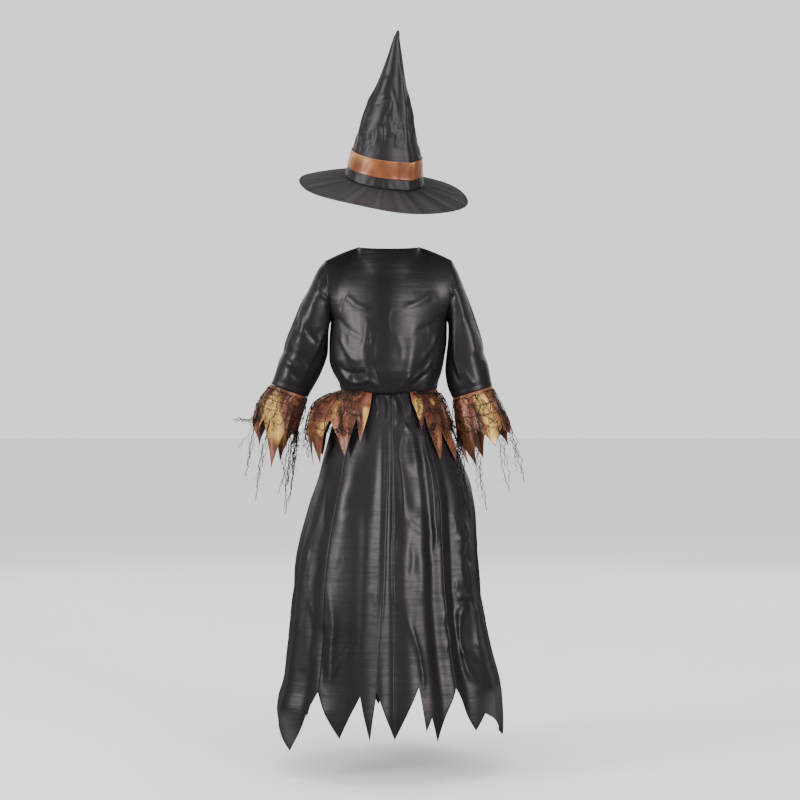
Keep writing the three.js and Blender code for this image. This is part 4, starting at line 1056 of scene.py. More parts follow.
# Cuffs: a copper bell on each sleeve, its edge cut in points at a share of its length
cuffs = {
    "wall": 0.8,
    "columns": 192,
    "rows": 50,
    "gap": 0.004,
    "flutes": {"count": 6, "depth": 4, "full": 0.9},
    "fade": 0.05,
    "gathers": {"out": 0.5, "waves": (23, 1.5, 5), "reach": 0.3, "foot": 0.03},
    "curl": {"out": 2.2, "from": 0.6, "count": 9, "shift": 40},
    "flat": (0.34, 0.17),
    "area": 0.031,
    "cuff_left": named(tubeColumns, [
        (238, -252, 163, -279, 42, -15), (252, -276, 170, -300, 45, -16), (264, -302, 180, -328, 49, -18),
        (270, -346, 190, -368, 53, -20), (270, -418, 197, -432, 56, -22)]),
    "cuff_right": named(tubeColumns, [
        (-205, -256, -127, -280, 43, 17), (-216, -284, -130, -304, 47, 19), (-228, -314, -134, -332, 51, 21),
        (-242, -352, -142, -368, 56, 24), (-256, -420, -164, -436, 60, 28)]),
    "edges": {
        "cuff_left": [(0, 0.66), (30, 0.84), (60, 0.6), (90, 0.98), (120, 0.68), (135, 0.84), (165, 0.6),
                      (195, 0.8), (225, 0.56), (255, 0.94), (285, 0.6), (330, 0.86), (360, 0.66)],
        "cuff_right": [(0, 0.58), (15, 0.74), (45, 0.62), (75, 0.82), (105, 0.62), (135, 1), (165, 0.76),
                       (195, 0.92), (225, 0.58), (255, 0.9), (285, 0.6), (330, 0.84), (360, 0.58)],
    },
    "folds": {
        "cuff_left": foldRows("back", [
            (-3.5, 5, [(190, -278), (202, -330), (210, -405)], 0.6),
            (3, 5, [(203, -276), (220, -320), (222, -400)], 0.8),
            (2.5, 4, [(236, -268), (248, -320), (252, -380)], 0.8),
            (2, 4, [(178, -286), (188, -330), (192, -380)], 0.6),
            (-2, 4, [(222, -272), (236, -320), (236, -370)]),
        ]) + foldRows("front", [
            (3, 5, [(200, -280), (214, -340), (220, -405)], 0.8),
            (-3, 4, [(224, -276), (240, -330), (244, -395)]),
        ]) + foldRows("left", [
            (2.5, 4, [(-14, -262), (-20, -320), (-18, -390)], 0.7),
        ]),
        "cuff_right": foldRows("back", [
            (-3.5, 4, [(-161, -280), (-176, -324), (-182, -372)], 0.7),
            (3, 5, [(-172, -276), (-194, -320), (-206, -390)], 0.8),
            (2.5, 4, [(-140, -286), (-152, -340), (-162, -420)], 0.7),
            (2.5, 4, [(-190, -268), (-216, -310), (-228, -370)], 0.7),
            (-2.5, 4, [(-182, -274), (-206, -314), (-216, -370)]),
        ]) + foldRows("front", [
            (3, 5, [(-160, -280), (-176, -340), (-190, -405)], 0.8),
            (-3, 4, [(-186, -276), (-204, -330), (-214, -395)]),
        ]) + foldRows("right", [
            (2.5, 4, [(18, -262), (26, -320), (28, -390)], 0.7),
        ]),
    },
    # Lines of painted gold sheen: the shot cloth's gold where the folded facets catch the light
    "goldSheen": {
        "cuff_left": foldRows("back", [
            (1.1, 20, [(212, -262), (224, -296), (217, -333), (221, -392)], 0.3, 0.55, 0.3),
            (0.7, 9, [(252, -320), (250, -350), (246, -366)], 0.3, 0, 0.2),
        ]) + foldRows("front", [
            (0.9, 15, [(196, -278), (214, -330), (216, -400)], 0.3, 0.5),
            (0.5, 9, [(236, -280), (246, -330), (250, -370)]),
        ]),
        "cuff_right": foldRows("back", [
            (1.1, 15, [(-164, -268), (-186, -312), (-199, -350), (-206, -396)], 0.3, -0.6, 0.12),
            (0.35, 12, [(-138, -296), (-152, -350), (-164, -410)]),
        ]) + foldRows("front", [
            (0.9, 14, [(-168, -272), (-188, -330), (-200, -400)], 0.3, -0.5),
            (0.5, 9, [(-210, -290), (-220, -330), (-228, -370)]),
        ]),
    },
    # Lines of painted shade: deep brown in the cuffs' creases
    "paintedShade": {
        "cuff_left": foldRows("back", [
            (0.8, 7, [(184, -280), (196, -330), (206, -390)]),
            (0.6, 7, [(258, -262), (262, -300), (262, -330)]),
        ]),
        "cuff_right": foldRows("back", [
            (0.9, 4, [(-160, -284), (-176, -322), (-180, -364)], 0.3, 0, 0.15),
            (0.6, 8, [(-206, -262), (-222, -300), (-236, -350)], 0.3, 0, 0.15),
        ]),
    },
}


# Cuff surface: the bell, with flutes as a cosine round it that deepen towards the edge
def cuffSurface(name, turn, reach, out=0):
    flutes = cuffs["flutes"]
    flute = flutes["depth"] * np.cos(np.radians(flutes["count"] * turn)) * softStep(reach / flutes["full"])
    return tubeSurface(cuffs[name], turn, reach, flute + out)


# Cuff grid: rows from the sleeve's hem to the cut edge, with the folds, small gathers at the seam as a sine
# round it, and points that curl in turn out and in, as a sine round it that grows towards the edge
def makeCuff(name):
    turns = np.arange(cuffs["columns"]) * 360 / cuffs["columns"]
    turn, share = np.meshgrid(turns, np.linspace(0, 1, cuffs["rows"]))
    edge = cutEdge(cuffs["edges"][name], turns)
    reach = cuffs["gap"] + (edge - cuffs["gap"]) * share
    points, middle = cuffSurface(name, turn, reach)
    normals = gridNormals(points, middle, wrapped=True)
    height = foldHeight(points, normals, cuffs["folds"][name]) * softStep(share / cuffs["fade"])
    gathers, curl = cuffs["gathers"], cuffs["curl"]
    gather = unevenSine(np.radians(turn), *gathers["waves"])
    height += gathers["out"] * gather * besideSeam(share, gathers["reach"], gathers["foot"])
    curling = np.sin(np.radians(turn * curl["count"] + curl["shift"]))
    height += curl["out"] * curling * towardsEdge(share, curl["from"])
    points = points + normals * height[..., None]
    length = np.linalg.norm(np.diff(points, axis=0), axis=-1).sum(0)
    # Marks of painted gold sheen and of painted shade
    marks = {"fromEdge": (1 - share) * length,
             "goldSheen": facets(points, normals, cuffs["goldSheen"][name]),
             "paintedShade": facets(points, normals, cuffs["paintedShade"][name])}
    piece = clothShell(name + "_satin", points, middle, cuffs["wall"], copperSatin, wrapped=True, marks=marks)
    declare(piece, name)


for cuffName in ("cuff_left", "cuff_right"):
    makeCuff(cuffName)
print("cuffs made")


# Peplum: two copper strips of long points that stand off the skirt at the hips
peplum = {
    "wall": 0.8,
    "parts": {
        "peplum_left": {"flat": (0.42, 0.16), "area": 0.043, "over": "skirt_side_back_left"},
        "peplum_right": {"flat": (0.37, 0.15), "area": 0.033, "over": "skirt_side_back_right"},
    },
    "step": 0.75,
    "rows": 56,
    "fade": 0.08,
    "curl": {"out": 2.5, "from": 0.55, "depths": (0.5, 21)},
    "stand": named(("z", "middle", "left", "right"), [
        (-262.6, 1.8, 1.8, 1.8),
        (-272, 7, 24, 5),
        (-286, 9, 42, 8),
        (-306, 10, 49, 8),
        (-344, 10, 46, 7),
        (-364, 9, 37, 7),
        (-420, 7, 11, 6),
    ]),
    "edges": {
        "peplum_left": [(18, -300), (24, -366), (30, -318), (36, -392), (54, -322), (66, -408), (78, -340),
                        (90, -414), (102, -352), (114, -396), (126, -330), (138, -388), (150, -324),
                        (162, -380), (174, -310)],
        "peplum_right": [(-174, -306), (-162, -376), (-150, -320), (-138, -392), (-126, -330), (-114, -398),
                         (-102, -336), (-90, -400), (-78, -330), (-60, -402), (-54, -338), (-42, -400),
                         (-36, -312), (-30, -340), (-24, -290)],
    },
    # Lines of painted gold sheen: the shot cloth's gold where the folded facets catch the light
    "goldSheen": foldRows("back", [
        (1.1, 8, [(47, -292), (46, -330), (43, -362)], 0.3, -0.5, 0.15),
        (0.8, 11, [(118, -316), (130, -345), (138, -356)], 0.3, 0.4),
        (0.5, 8, [(96, -276), (104, -300), (110, -330)]),
        (1.0, 10, [(-62, -276), (-62, -306), (-54, -328)], 0.3, 0.5, 0.15),
        (0.7, 5, [(-80, -278), (-92, -296)]),
        (0.45, 6, [(-92, -330), (-96, -360), (-98, -390)]),
    ]) + foldRows("front", [
        (0.8, 12, [(62, -276), (58, -320), (50, -370)], 0.3, 0.5),
        (0.8, 12, [(-52, -280), (-60, -320), (-66, -370)], 0.3, -0.5),
    ]) + foldRows("left", [
        (0.8, 12, [(22, -290), (16, -330), (8, -380)], 0.3, 0.5),
    ]) + foldRows("right", [
        (0.8, 12, [(-12, -290), (-4, -330), (8, -380)], 0.3, 0.5),
    ]),
    # Lines of painted shade: deep brown in creases and along the top, where the blouse shades the strip
    "paintedShade": foldRows("back", [
        (0.9, 6, [(98, -280), (92, -330), (90, -360)]),
        (0.8, 7, [(168, -284), (128, -270), (84, -268), (50, -270)], 0.3, 0, 0.1),
        (0.8, 7, [(-52, -268), (-84, -270), (-116, -276)], 0.3, 0, 0.1),
        (0.6, 9, [(150, -280), (140, -300), (128, -330)]),
        (0.8, 7, [(-98, -282), (-106, -330), (-112, -370)]),
        (0.6, 4, [(62, -300), (60, -330), (58, -352)]),
    ]),
    "folds": foldRows("back", [
        (3.5, 5, [(57, -266), (56, -300), (52, -334)], 0.8),
        (-5, 5, [(93, -270), (90, -320), (86, -362)], 0.5),
        (3, 4, [(104, -268), (118, -300), (124, -344)], 0.8),
        (2.5, 4, [(74, -268), (80, -310), (78, -380)], 0.8),
        (-2.5, 3.5, [(60, -318), (76, -308), (92, -316)]),
        (2.5, 4, [(140, -268), (150, -300), (150, -340)], 0.6),
        (-3.5, 4, [(-80, -268), (-82, -300), (-86, -334)], 0.6),
        (3, 5, [(-94, -270), (-100, -310), (-100, -360)], 0.8),
        (4, 5, [(-62, -268), (-54, -290), (-58, -326)], 0.9, 0.4),
        (-2.5, 3.5, [(-56, -318), (-66, -306), (-78, -298)]),
    ]) + foldRows("front", [
        (3.5, 5, [(60, -266), (58, -340)], 0.8),
        (-4, 5, [(84, -270), (90, -350)], 0.5),
        (3, 5, [(34, -268), (30, -340)], 0.8),
        (3.5, 5, [(-60, -266), (-66, -350)], 0.8),
        (-4, 5, [(-36, -270), (-40, -340)], 0.5),
    ]) + foldRows("left", [
        (3.5, 5, [(30, -270), (24, -370)], 0.8),
        (-4, 5, [(-20, -270), (-24, -360)]),
        (3, 4, [(2, -272), (-4, -390)], 0.7),
    ]) + foldRows("right", [
        (3.5, 5, [(20, -270), (24, -360)], 0.8),
        (-4, 5, [(-20, -270), (-20, -360)]),
    ]),
}


# Peplum surface: the skirt's, moved out by a stand that grows towards the hips as sine cubed
def peplumSurface(angle, z, out=0):
    row = throughRows(peplum["stand"], "z", z)
    side = np.sin(np.radians(angle))
    reach = np.where(side > 0, row["left"], row["right"])
    stand = row["middle"] + (reach - row["middle"]) * np.abs(side) ** 3
    return movedOut(skirtSurface(angle, z), stand + out)


# Peplum strip: rows from the waist to the cut points, with the folds, and points that curl outwards as a
# sine round it that grows towards the edge
def makePeplum(name):
    points = peplum["edges"][name]
    first, last = points[0][0], points[-1][0]
    angles = np.linspace(first, last, round((last - first) / peplum["step"]) + 1)
    share = np.linspace(0, 1, peplum["rows"])[:, None]
    top = peplum["stand"][0]["z"]
    z = top + (cutEdge(points, angles) - top) * share
    angle = np.broadcast_to(angles, z.shape)
    surface = peplumSurface(angle, z)
    inside = surface * [0, 0, 1]
    normals = gridNormals(surface, inside)
    height = foldHeight(surface, normals, peplum["folds"]) * softStep(share / peplum["fade"])
    curl = peplum["curl"]
    curling = uneven(np.radians(angle), *curl["depths"]) * towardsEdge(share, curl["from"])
    surface = surface + normals * (height + curl["out"] * curling)[..., None]
    length = np.linalg.norm(np.diff(surface, axis=0), axis=-1).sum(0)
    # Marks of painted gold sheen and of painted shade
    marks = {"fromEdge": (1 - share) * length,
             "goldSheen": facets(surface, normals, peplum["goldSheen"]),
             "paintedShade": facets(surface, normals, peplum["paintedShade"])}
    piece = clothShell(name + "_satin", surface, inside, peplum["wall"], copperSatin, marks=marks)
    declare(piece, name)


for peplumName in ("peplum_left", "peplum_right"):
    makePeplum(peplumName)
print("peplum made")


# Torn net: stout yarns along the falls of the net, finer ones between them, and loose ends that hang free.
# A tail names its fall and where it ends, a bunch the fall whose tail carries the most loose ends, and
# others are loose ends of their own, through three points.
nets = {
    "stout": 1.6,
    "fine": 1.0,
    "hair": 0.7,
    "rows": 4,
    "strandPoints": 5,
    "stand": {"seam": 2.7, "free": 5.5, "over": 1.2},
    "head": {"cuff": 0.05, "peplum": 7},
    "sway": 0.32,
    "lift": 0.3,
    "bunched": {"shares": (0.95, 0.86, 0.75, 0.66, 0.6, 0.5, 0.4, 0.34), "size": 1.6},
    "single": {"shares": (0.85, 0.6), "size": 1.2},
    "chances": (((0, 1), 0.72), ((1, 0), 0.5), ((1, 1), 0.3), ((-1, 1), 0.3)),
    "fringe": {"chance": 0.7, "length": (8, 30)},
    "end": {"steps": 12, "turns": (1.3, 0.9, 1.7), "swings": (1.5, 0.8, 0.6), "fades": (0.25, 0.2),
            "shoot": (4, 12), "bend": 0.6},
    "cuff_web_left": {
        "cuff": "cuff_left", "from": -10, "to": 170, "falls": 7, "reach": 0.6, "seed": 1, "bunch": 6,
        "tails": [(0, (312, 4, -322)), (1, (286, 22, -436)), (3, (264, 42, -484)), (5, (218, 40, -468)),
                  (6, (207, 22, -514))],
        "others": [((268, 10, -330), (288, 8, -352), (300, 8, -380)),
                   ((250, 42, -360), (250, 46, -400), (262, 44, -440)),
                   ((214, 40, -380), (212, 42, -410), (200, 40, -446))],
    },
    "cuff_web_right": {
        "cuff": "cuff_right", "from": 4, "to": 172, "falls": 7, "reach": 0.6, "seed": 2, "bunch": 6,
        "tails": [(0, (-268, 34, -448)), (2, (-236, 84, -462)), (4, (-190, 96, -500)), (6, (-158, 96, -516))],
        "others": [((-242, 46, -350), (-254, 48, -390), (-252, 48, -424)),
                   ((-168, 92, -390), (-166, 94, -424), (-174, 94, -462))],
    },
    "peplum_web_left": {
        "from": 27, "to": 150, "falls": 10, "foot": -338, "seed": 3, "bunch": None,
        "tails": [(1, (96, 122, -384)), (5, (160, 22, -398)), (8, (112, -106, -382))],
        "others": [((142, 80, -336), (146, 82, -358), (140, 84, -380))],
    },
    "peplum_web_right": {
        "from": -27, "to": -150, "falls": 9, "foot": -334, "seed": 4, "bunch": None,
        "tails": [(1, (-92, 116, -372)), (7, (-98, -100, -380))],
        "others": [((-104, 104, -320), (-112, 106, -346), (-108, 106, -374))],
    },
}


# Place on a net at a share of its width and of its drop: over the cuff's or the peplum's cloth, at a
# stand that grows from the seam down as a soft step
def netSurface(name, share, drop):
    net = nets[name]
    stands = nets["stand"]
    stand = stands["seam"] + (stands["free"] - stands["seam"]) * softStep(drop * 2)
    across = net["from"] + (net["to"] - net["from"]) * share
    if "cuff" in net:
        head = nets["head"]["cuff"]
        reach = head + (net["reach"] - head) * drop
        return cuffSurface(net["cuff"], across, reach, stand - stands["over"])[0]
    top = peplum["stand"][0]["z"] - nets["head"]["peplum"]
    z = top + (net["foot"] - top) * np.maximum(drop, 0) ** 1.5
    return peplumSurface(across, z, stand + stands["over"])


# A loose end: a smooth line that wanders by summed small random steps and curls by sines, both faded at
# its two ends, with a short bent side shoot at every fourth point
def looseEnd(line, pick, wander):
    end = nets["end"]
    path = smoothLine(line, end["steps"])
    grow = np.linspace(0, 1, len(path))[:, None]
    drift = np.cumsum(pick.normal(0, wander, path.shape), 0)
    curl = np.sin(np.arange(len(path))[:, None] * end["turns"] + pick.uniform(0, 6, 3)) * end["swings"]
    path = path + (drift - drift[-1:] * grow + curl) * fadeEnds(grow, *end["fades"])
    shoots = []
    for start in path[3::4]:
        way = unit(np.array([pick.uniform(-1, 1), pick.uniform(-0.3, 0.3), pick.uniform(-1, 0.1)]))
        bend = unit(np.array([pick.uniform(-1, 1), 0, pick.uniform(-1, 0)]))
        reach = pick.uniform(*end["shoot"])
        stop = start + (way + bend * end["bend"]) * reach * 0.7
        shoots.append(smoothLine([start, start + way * reach * 0.5, stop], 3))
    return path, shoots


# Net: strands between the knots of a grid that is a share of the net's width across and of its drop down
def makeNet(name):
    net = nets[name]
    pick = np.random.default_rng(net["seed"])
    falls, rows = net["falls"], nets["rows"]
    lines = []
    sizes = []

    def add(line, size):
        lines.append(line)
        sizes.append(size)

    # A strand: straight on the net's surface but for a sag, the sine of half a turn
    def strand(start, end, slack):
        t = np.linspace(0, 1, nets["strandPoints"])
        sag = np.sin(math.pi * t) * slack
        return netSurface(name, start[0] + (end[0] - start[0]) * t + sag * 0.025,
                          start[1] + (end[1] - start[1]) * t + sag * 0.06)

    def addEnd(line, size, wander=0.9):
        path, shoots = looseEnd(line, pick, wander)
        add(path, size)
        for shoot in shoots:
            add(shoot, nets["hair"])

    # Stout yarns: each knot sways by a sine of its numbers, as far as a third of a mesh
    i, j = np.meshgrid(np.arange(falls), np.arange(rows), indexing="ij")
    phase = net["seed"] * 37.719
    sway = np.where(j > 0, nets["sway"], 0.06) * np.sin(i * 12.9898 + j * 78.233 + phase)
    lift = np.where(j > 0, nets["lift"], 0) * np.sin(j * 12.9898 + i * 78.233 + phase)
    knots = np.stack([(i + sway) / (falls - 1), (j + lift) / (rows - 1)], -1)
    for a in range(falls):
        for b in range(rows):
            if b + 1 < rows:
                add(strand(knots[a, b], knots[a, b + 1], pick.uniform(-1, 1)), nets["stout"])
            if a + 1 < falls:
                add(strand(knots[a, b], knots[a + 1, b], pick.uniform(0.2, 1.4)), nets["stout"] * 0.85)
    for fall, end in net["tails"]:
        start = netSurface(name, *knots[fall, rows - 1])
        middle = start * 0.5 + np.array(end) * 0.5 + [pick.uniform(-4, 4), 5, 0]
        addEnd([start, middle, end], nets["stout"])
        tail = nets["bunched" if fall == net["bunch"] else "single"]
        for share in tail["shares"]:
            nearby = pick.uniform(-3, 3, 3)
            stop = start + (np.array(end) - start) * share + nearby * 1.6
            addEnd([start, start * 0.5 + stop * 0.5 + nearby, stop], nets["fine"] * tail["size"], 1.3)
    for line in net["others"]:
        addEnd(line, nets["fine"], 1.1)

    # Finer yarns: an uneven mesh, almost three times as close both ways as the stout one, where a chance
    # says which neighbours a knot joins, and a fringe of short loose ends at its foot
    fineFalls, fineRows = 3 * falls - 4, 2 * rows + 1
    i, j = np.meshgrid(np.arange(fineFalls), np.arange(fineRows), indexing="ij")
    share = np.clip((i + pick.uniform(-0.42, 0.42, i.shape)) / (fineFalls - 1), 0, 1)
    drop = np.clip((j + pick.uniform(-0.45, 0.45, j.shape) * (j > 0)) / (fineRows - 1), 0, 1.1)
    for a in range(fineFalls):
        for b in range(fineRows):
            for (across, down), chance in nets["chances"]:
                c, d = a + across, b + down
                if 0 <= c < fineFalls and d < fineRows and pick.random() < chance:
                    add(strand((share[a, b], drop[a, b]), (share[c, d], drop[c, d]), pick.uniform(-1, 1)),
                        pick.choice([nets["fine"], nets["fine"], nets["hair"]]))
        if pick.random() < nets["fringe"]["chance"]:
            start = netSurface(name, share[a, -1], drop[a, -1])
            reach = pick.uniform(*nets["fringe"]["length"])
            end = start + [pick.uniform(-6, 6), pick.uniform(-2, 4), -reach]
            addEnd([start, (start + end) / 2 + [pick.uniform(-4, 4), 0, 0], end], nets["hair"])
    piece = threadPiece(name + "_threads", lines, sizes, netThread)
    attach(piece, "root")
    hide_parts(name)


for netName in ("cuff_web_left", "cuff_web_right", "peplum_web_left", "peplum_web_right"):
    makeNet(netName)
print("nets made")


# Hat, built level and then tipped back and to the right, as it is worn
hat = {
    "place": (8, -4, 155),
    "pitch": 20,
    "roll": 7.5,
    "wall": 1.0,
    "columns": 160,
    "rows": 112,
    "crown": named(("up", "radius", "side"), [
        (1.4, 79, 0),
        (21, 74, 1),
        (56, 68, 1.5),
        (85, 59.5, 4.5),
        (118, 50.5, 7),
        (150, 41.5, 7),
        (198, 26.5, 8.5),
        (249, 14, 10),
        (282, 6.5, 11.5),
        (297, 2.6, 10.5),
    ]),
    "corners": [(-40, 5, 15), (96, 3, 17), (180, -2, 25)],  # angle, out, spread
    "flat": (0.5, 0.32),
    "area": 0.075,
    "tip": {"above": 2.0, "blend": 0.55, "rise": 0.3, "rows": 12, "walls": (0.9, 0.25)},
    "foldSpan": {"foot": 54, "footSoft": 9, "tip": 30, "tipSoft": 60},
    "gathers": {"out": 0.5, "waves": (26, 2, 5), "top": 22, "topSoft": 14, "foot": 8},
    "brim": {"inner": 76, "outer": 171, "droop": 19.5, "wave": 2.6, "wall": 1.4, "rim": 3.2, "thinnest": 0.8,
             "rows": 46, "columns": 300, "stitched": 0.935, "flat": (0.35, 0.35), "area": 0.078,
             "bead": {"from": 0.955, "soft": 0.02, "rows": 9, "deep": 0.04, "round": 0.97, "middle": 0.985,
                      "half": 0.0155},
             "ripple": 0.55, "ripples": ((0.5, 31, 3, 4), (0.35, 53, 2, 9)), "slowRipple": (0.5, 17, 1.0),
             "rippleSpan": {"from": 0.02, "rise": 0.2, "to": 0.96, "fall": 0.15},
             # Painted light on the brim: paler over all, more so outwards, and along its ripples
             "pale": {"ground": 0.2, "outwards": 0.2, "ripple": 0.2}},
    "band": {"foot": 21.5, "height": 34, "wall": 0.9, "gap": 0.6, "rows": 24,
             "soft": ((0.21, 19, 4), (0.3, 3, 2)), "hem": {"out": 0.35, "wide": 0.1, "soft": 0.03},
             "lap": {"at": -34, "half": 12, "edge": 1.2, "out": 1.1}, "flat": (0.46, 0.036), "area": 0.0163,
             # Painted gold reflections on the ribbon
             "goldSheen": foldRows("back", [
                 (0.75, 12, [(80, 206), (52, 198), (30, 196)], 0.3, 0, 0.1),
                 (1, 9, [(-40, 186), (-52, 184)], 0.3, 0, 0.1),
                 (0.4, 10, [(10, 190), (-20, 184)], 0.3, 0, 0.2),
             ]) + foldRows("front", [
                 (0.8, 12, [(30, 150), (0, 150)]),
             ])},
    "crumples": [  # side, low corner, high corner, count, seed, out, length, wide
        (side, (-60, 200), (70, 330), 34, seed, (0.4, 1.3), (12, 40), (2.5, 5))
        for side, seed in (("back", 41), ("front", 42), ("left", 43), ("right", 44))
    ],
    "crownFolds": foldRows("back", [
        (2, 5, [(42, 290), (30, 330), (26, 360)]),
        (-1.8, 5, [(30, 294), (12, 300), (-4, 304)], 0.3, 0.4),
        (2, 9, [(20, 306), (8, 330), (0, 352)], 0),
        (-1.6, 5, [(-4, 330), (-14, 296), (-16, 262)]),
        (-1.8, 4, [(34, 248), (32, 232), (36, 214)]),
        (1.6, 4, [(-14, 244), (-16, 226), (-14, 206)]),
        (-1.6, 3.5, [(-24, 262), (-28, 236), (-28, 212)]),
        (-1.8, 4, [(60, 244), (54, 228), (56, 214)]),
        (2, 5, [(4, 270), (-2, 250), (-4, 226)]),
        (2, 4, [(26, 262), (22, 240), (24, 220)]),
        (-2, 4, [(14, 258), (10, 236), (12, 216)]),
        (2, 4, [(46, 250), (42, 236), (44, 222)]),
        (2.4, 3, [(-22, 370), (-32, 300), (-38, 210)], 0.8),
    ]) + foldRows("front", [
        (2.5, 6, [(20, 330), (10, 280), (16, 220)]),
        (-2.5, 5, [(-10, 320), (-16, 270), (-8, 220)]),
    ]) + foldRows("left", [
        (2.5, 6, [(60, 330), (40, 280), (44, 220)]),
    ]) + foldRows("right", [
        (2.5, 6, [(60, 330), (50, 280), (30, 220)]),
    ]),
}


# Local hat points into the worn place: turned about X by the pitch, then about Y by the roll
def worn(points):
    pitch = math.radians(-hat["pitch"])
    roll = math.radians(-hat["roll"])
    x, y, z = points[..., 0], points[..., 1], points[..., 2]
    y, z = y * math.cos(pitch) - z * math.sin(pitch), y * math.sin(pitch) + z * math.cos(pitch)
    x, z = x * math.cos(roll) + z * math.sin(roll), z * math.cos(roll) - x * math.sin(roll)
    return np.stack([x, y, z], -1) + hat["place"]


# Crown surface: a ring of sine and cosine through the crown's rows, with soft bumps as corners that fade
# towards the tip
def crownSurface(angle, up, out=0):
    row = throughRows(hat["crown"], "up", up)
    fade = softStep((hat["crown"][-1]["up"] - up) / 150)
    radius = row["radius"] + out
    for at, size, spread in hat["corners"]:
        radius = radius + size * softBump(wrapAngle(angle - at) / spread) * fade
    turn = np.radians(angle)
    height = np.broadcast_to(up, turn.shape)
    return np.stack([row["side"] + radius * np.sin(turn), radius * np.cos(turn), height], -1)


# Points on the hat's own axis at the heights of some local points
def hatAxis(points):
    up = points[..., 2]
    return worn(np.stack([0 * up + 6, 0 * up, up], -1))


def hatGrid(columns, shares):
    return np.meshgrid(np.arange(columns) * 360 / columns, shares)


# Crown grid: the cone with its folds, small gathers over the brim as a sine round it, and one more ring
# that draws the tip together, where the wall grows thin
def makeCrown():
    angle, share = hatGrid(hat["columns"], np.linspace(0, 1, hat["rows"]))
    top = hat["crown"][-1]["up"]
    up = hat["crown"][0]["up"] + (top - hat["crown"][0]["up"]) * share
    local = crownSurface(angle, up)
    points = worn(local)
    inside = hatAxis(local)
    normals = gridNormals(points, inside, wrapped=True)
    height = foldHeight(points, normals, hat["crownFolds"] + crumples(hat["crumples"]))
    span, gathers = hat["foldSpan"], hat["gathers"]
    height *= softStep((up - span["foot"]) / span["footSoft"])
    height *= softStep((top - span["tip"] - up) / span["tipSoft"])
    gather = gathers["out"] * unevenSine(np.radians(angle), *gathers["waves"])
    height += gather * softStep((gathers["top"] - up) / gathers["topSoft"]) * softStep(up / gathers["foot"])
    points = points + normals * height[..., None]
    tip = hat["tip"]
    last = points[-1:]
    end = worn(np.array([hat["crown"][-1]["side"], 0, top + tip["above"]]))
    ring = last + (end - last) * tip["blend"] + (end - last) * [0, 0, tip["rise"]]
    points = np.concatenate([points, ring])
    inside = np.concatenate([inside, inside[-1:]])
    wall = np.full(points.shape[:2], hat["wall"])
    wall[-tip["rows"]:] = np.linspace(*tip["walls"], tip["rows"])[:, None]
    piece = clothShell("hat_crown_satin", points, inside, wall, hatSatin, wrapped=True,
                       marks=plainMarks(wall.shape))
    declare(piece, "hat_crown")


# Brim surface at v outwards: a ring whose radius grows evenly, which droops partly with v and partly with v
# squared, and waves up and down as two sines round it
def brimSurface(angle, v, out):
    brim = hat["brim"]
    radius = brim["inner"] + (brim["outer"] - brim["inner"]) * v
    turn = np.radians(angle)
    wave = brim["wave"] * v * (np.sin(2 * turn + math.radians(40)) + 0.5 * np.sin(5 * turn))
    droop = brim["droop"] * (0.7 * v + 0.3 * v * v)
    return np.stack([radius * np.sin(turn), radius * np.cos(turn), 1 + wave - droop + out], -1)


# Brim grid: radial ripples as uneven sines round it, and a bead at the rim, where the wall swells by a soft
# step and is rounded as half a circle
def makeBrim():
    brim = hat["brim"]
    bead, span = brim["bead"], brim["rippleSpan"]
    beadShares = 1 - bead["deep"] * (1 - np.sin(np.linspace(0, math.pi / 2, bead["rows"])))
    angle, v = hatGrid(brim["columns"], np.append(np.linspace(0, bead["from"], brim["rows"]), beadShares))
    turn = np.radians(angle)
    size, count, shift = brim["slowRipple"]
    radial = size * np.sin(turn * count + shift)
    for size, *waves in brim["ripples"]:
        radial = radial + size * unevenSine(turn, *waves)
    fade = softStep((v - span["from"]) / span["rise"]) * softStep((span["to"] - v) / span["fall"])
    local = brimSurface(angle, v, brim["ripple"] * radial * fade)
    swell = softStep((v - bead["from"]) / bead["soft"])
    circle = np.sqrt(np.clip(1 - ((v - bead["middle"]) / bead["half"]) ** 2, 0, 1))
    rim = brim["rim"] * np.where(v > bead["round"], circle, 1)
    wall = np.maximum(brim["wall"] + (rim - brim["wall"]) * swell, brim["thinnest"])
    local[..., 2] += (wall - brim["wall"]) / 2
    points = worn(local)
    inside = worn(local - [0, 0, 200])
    edgeRow = rowAt(v, brim["stitched"])
    sewAlong(points[edgeRow], gridNormals(points, inside, wrapped=True)[edgeRow])
    # Painted light: the brim paler over all and more so outwards, where its upturned cloth catches the top
    # light, with painted highlights along its ripples
    shades = brim["pale"]
    pale = shades["ground"] + shades["outwards"] * softStep(v) + shades["ripple"] * radial * softStep(v / 0.3)
    piece = clothShell("hat_brim_satin", points, inside, wall, hatSatin, wrapped=True,
                       marks=plainMarks(v.shape, np.clip(pale, 0, 1)))
    declare(piece, "hat_brim")


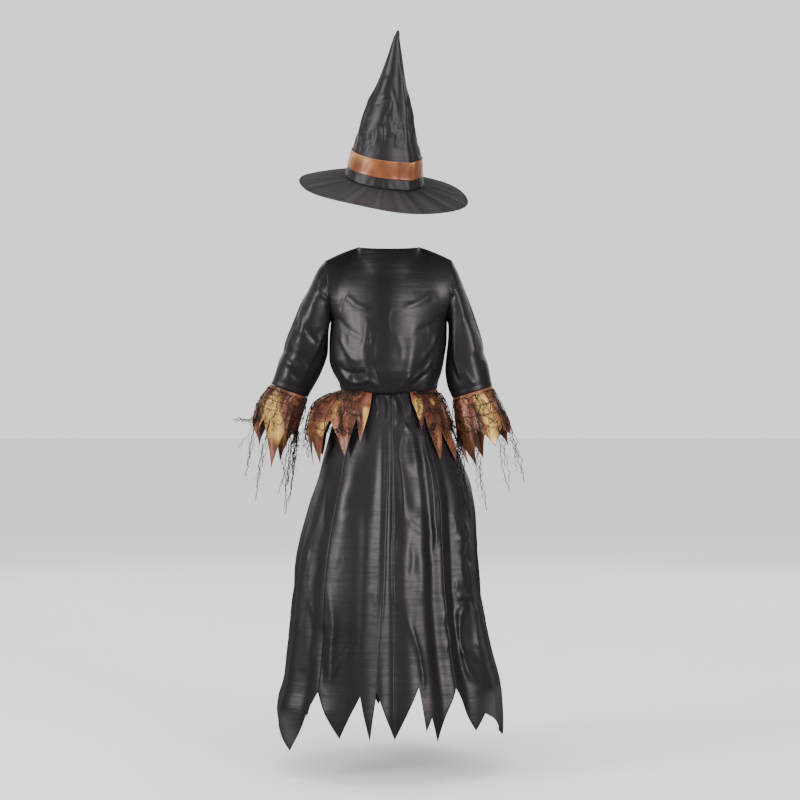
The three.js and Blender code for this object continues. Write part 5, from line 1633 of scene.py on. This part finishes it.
# Band grid: the crown's surface moved out by the ribbon's wall, with slow sines that fade at both edges as
# its softness, a raised hem along both edges, and a lap where its ends meet
def makeBand():
    band = hat["band"]
    angle, v = hatGrid(hat["columns"], np.linspace(0, 1, band["rows"]))
    up = band["foot"] + band["height"] * v
    turn = np.radians(angle)
    slow = sum(size * np.sin(turn * count + slant * v) for size, count, slant in band["soft"])
    soft = slow * np.sin(math.pi * v)
    hem = band["hem"]
    hems = hem["out"] * softStep((hem["wide"] - np.minimum(v, 1 - v)) / hem["soft"])
    lapping = (band["lap"]["half"] - np.abs(wrapAngle(angle - band["lap"]["at"]))) / band["lap"]["edge"]
    lap = band["lap"]["out"] * softStep(lapping)
    local = crownSurface(angle, up, band["gap"] + band["wall"] + soft + hems + lap)
    points = worn(local)
    inside = hatAxis(local)
    normals = gridNormals(points, inside, wrapped=True)
    # Painted gold reflections, along the band's gold lines
    goldSheen = foldHeight(points, normals, band["goldSheen"])
    marks = {"fromEdge": np.minimum(v, 1 - v) * band["height"], "goldSheen": np.clip(goldSheen, 0, 1), "paintedShade": 0 * v}
    piece = clothShell("hat_band_satin", points, inside, band["wall"], bandSatin, wrapped=True, marks=marks)
    declare(piece, "hat_band")


makeCrown()
makeBrim()
makeBand()
print("hat made")


# All stitches: round the neck, the sleeves' hems and the brim
def makeSewing():
    piece = threadPiece("sewing_threads", sewing["lines"], sewing["thick"], sewingThread)
    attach(piece, "root")


makeSewing()
print("sewing made")


# Studio, in metres: floor, pale surroundings and soft boxes
studio = {
    "floor": -1.014,
    "floorHalf": 30,
    "floorShades": [(0.86, 0.86, 0.86, 1), (0.88, 0.88, 0.88, 1)],
    "floorMirrored": (0.06, 0.06, 0.06, 1),
    "sky": 1.3,
    "skyMirrored": 0.1,
    "lights": named(("name", "place", "size", "power"), [
        ("left", (3.5, 1.7, 0.9), 1.4, 130),
        ("right", (-2.5, 3.5, 0.7), 1.3, 140),
        ("top", (0.3, 0.6, 3.0), 1.6, 34),
        ("front_left", (1.9, -3.6, 1.0), 2.2, 24),
        ("front_right", (-1.9, -3.6, 0.8), 2.2, 24),
    ]),
    "aim": (0, 0, -0.4),
}


# White surroundings that are dimmer where a shiny cloth mirrors them, and soft lamps on all sides
def makeStudio():
    corners = np.array([(-1, -1, 0), (1, -1, 0), (1, 1, 0), (-1, 1, 0)]) * studio["floorHalf"]
    corners = (corners + [0, 0, studio["floor"]]) * 1000
    paint = Finish(bpy.data.materials.new("floor_paint"))
    pale = paint.blend(paint.noise((3, 3, 3), detail=2), *studio["floorShades"])
    mirrored = paint.node("LightPath", output="Is Glossy Ray")
    paint.set(Base_Color=paint.blend(mirrored, pale, studio["floorMirrored"]), Roughness=0.95,
              Specular_IOR_Level=0.05)
    putMesh("floor", corners, np.array([[0, 1, 2, 3]]), paint.owner)
    sky = Finish(bpy.data.worlds.new("studio"), "Background")
    mirrored = sky.node("LightPath", output="Is Glossy Ray")
    sky.set(Color=(1, 1, 1, 1), Strength=sky.node("MapRange", {}, {
        "Value": mirrored, "To Min": studio["sky"], "To Max": studio["skyMirrored"]}))
    bpy.context.scene.world = sky.owner
    for light in studio["lights"]:
        data = bpy.data.lights.new(light["name"], "AREA")
        data.size = light["size"]
        data.energy = light["power"]
        lamp = bpy.data.objects.new(light["name"], data)
        lamp.location = light["place"]
        x, y, z = np.array(studio["aim"]) - light["place"]
        tilt = math.atan2(z, math.hypot(x, y))
        lamp.rotation_euler = (math.pi / 2 + tilt, 0, math.atan2(y, x) - math.pi / 2)
        bpy.context.scene.collection.objects.link(lamp)


makeStudio()
print("studio made")
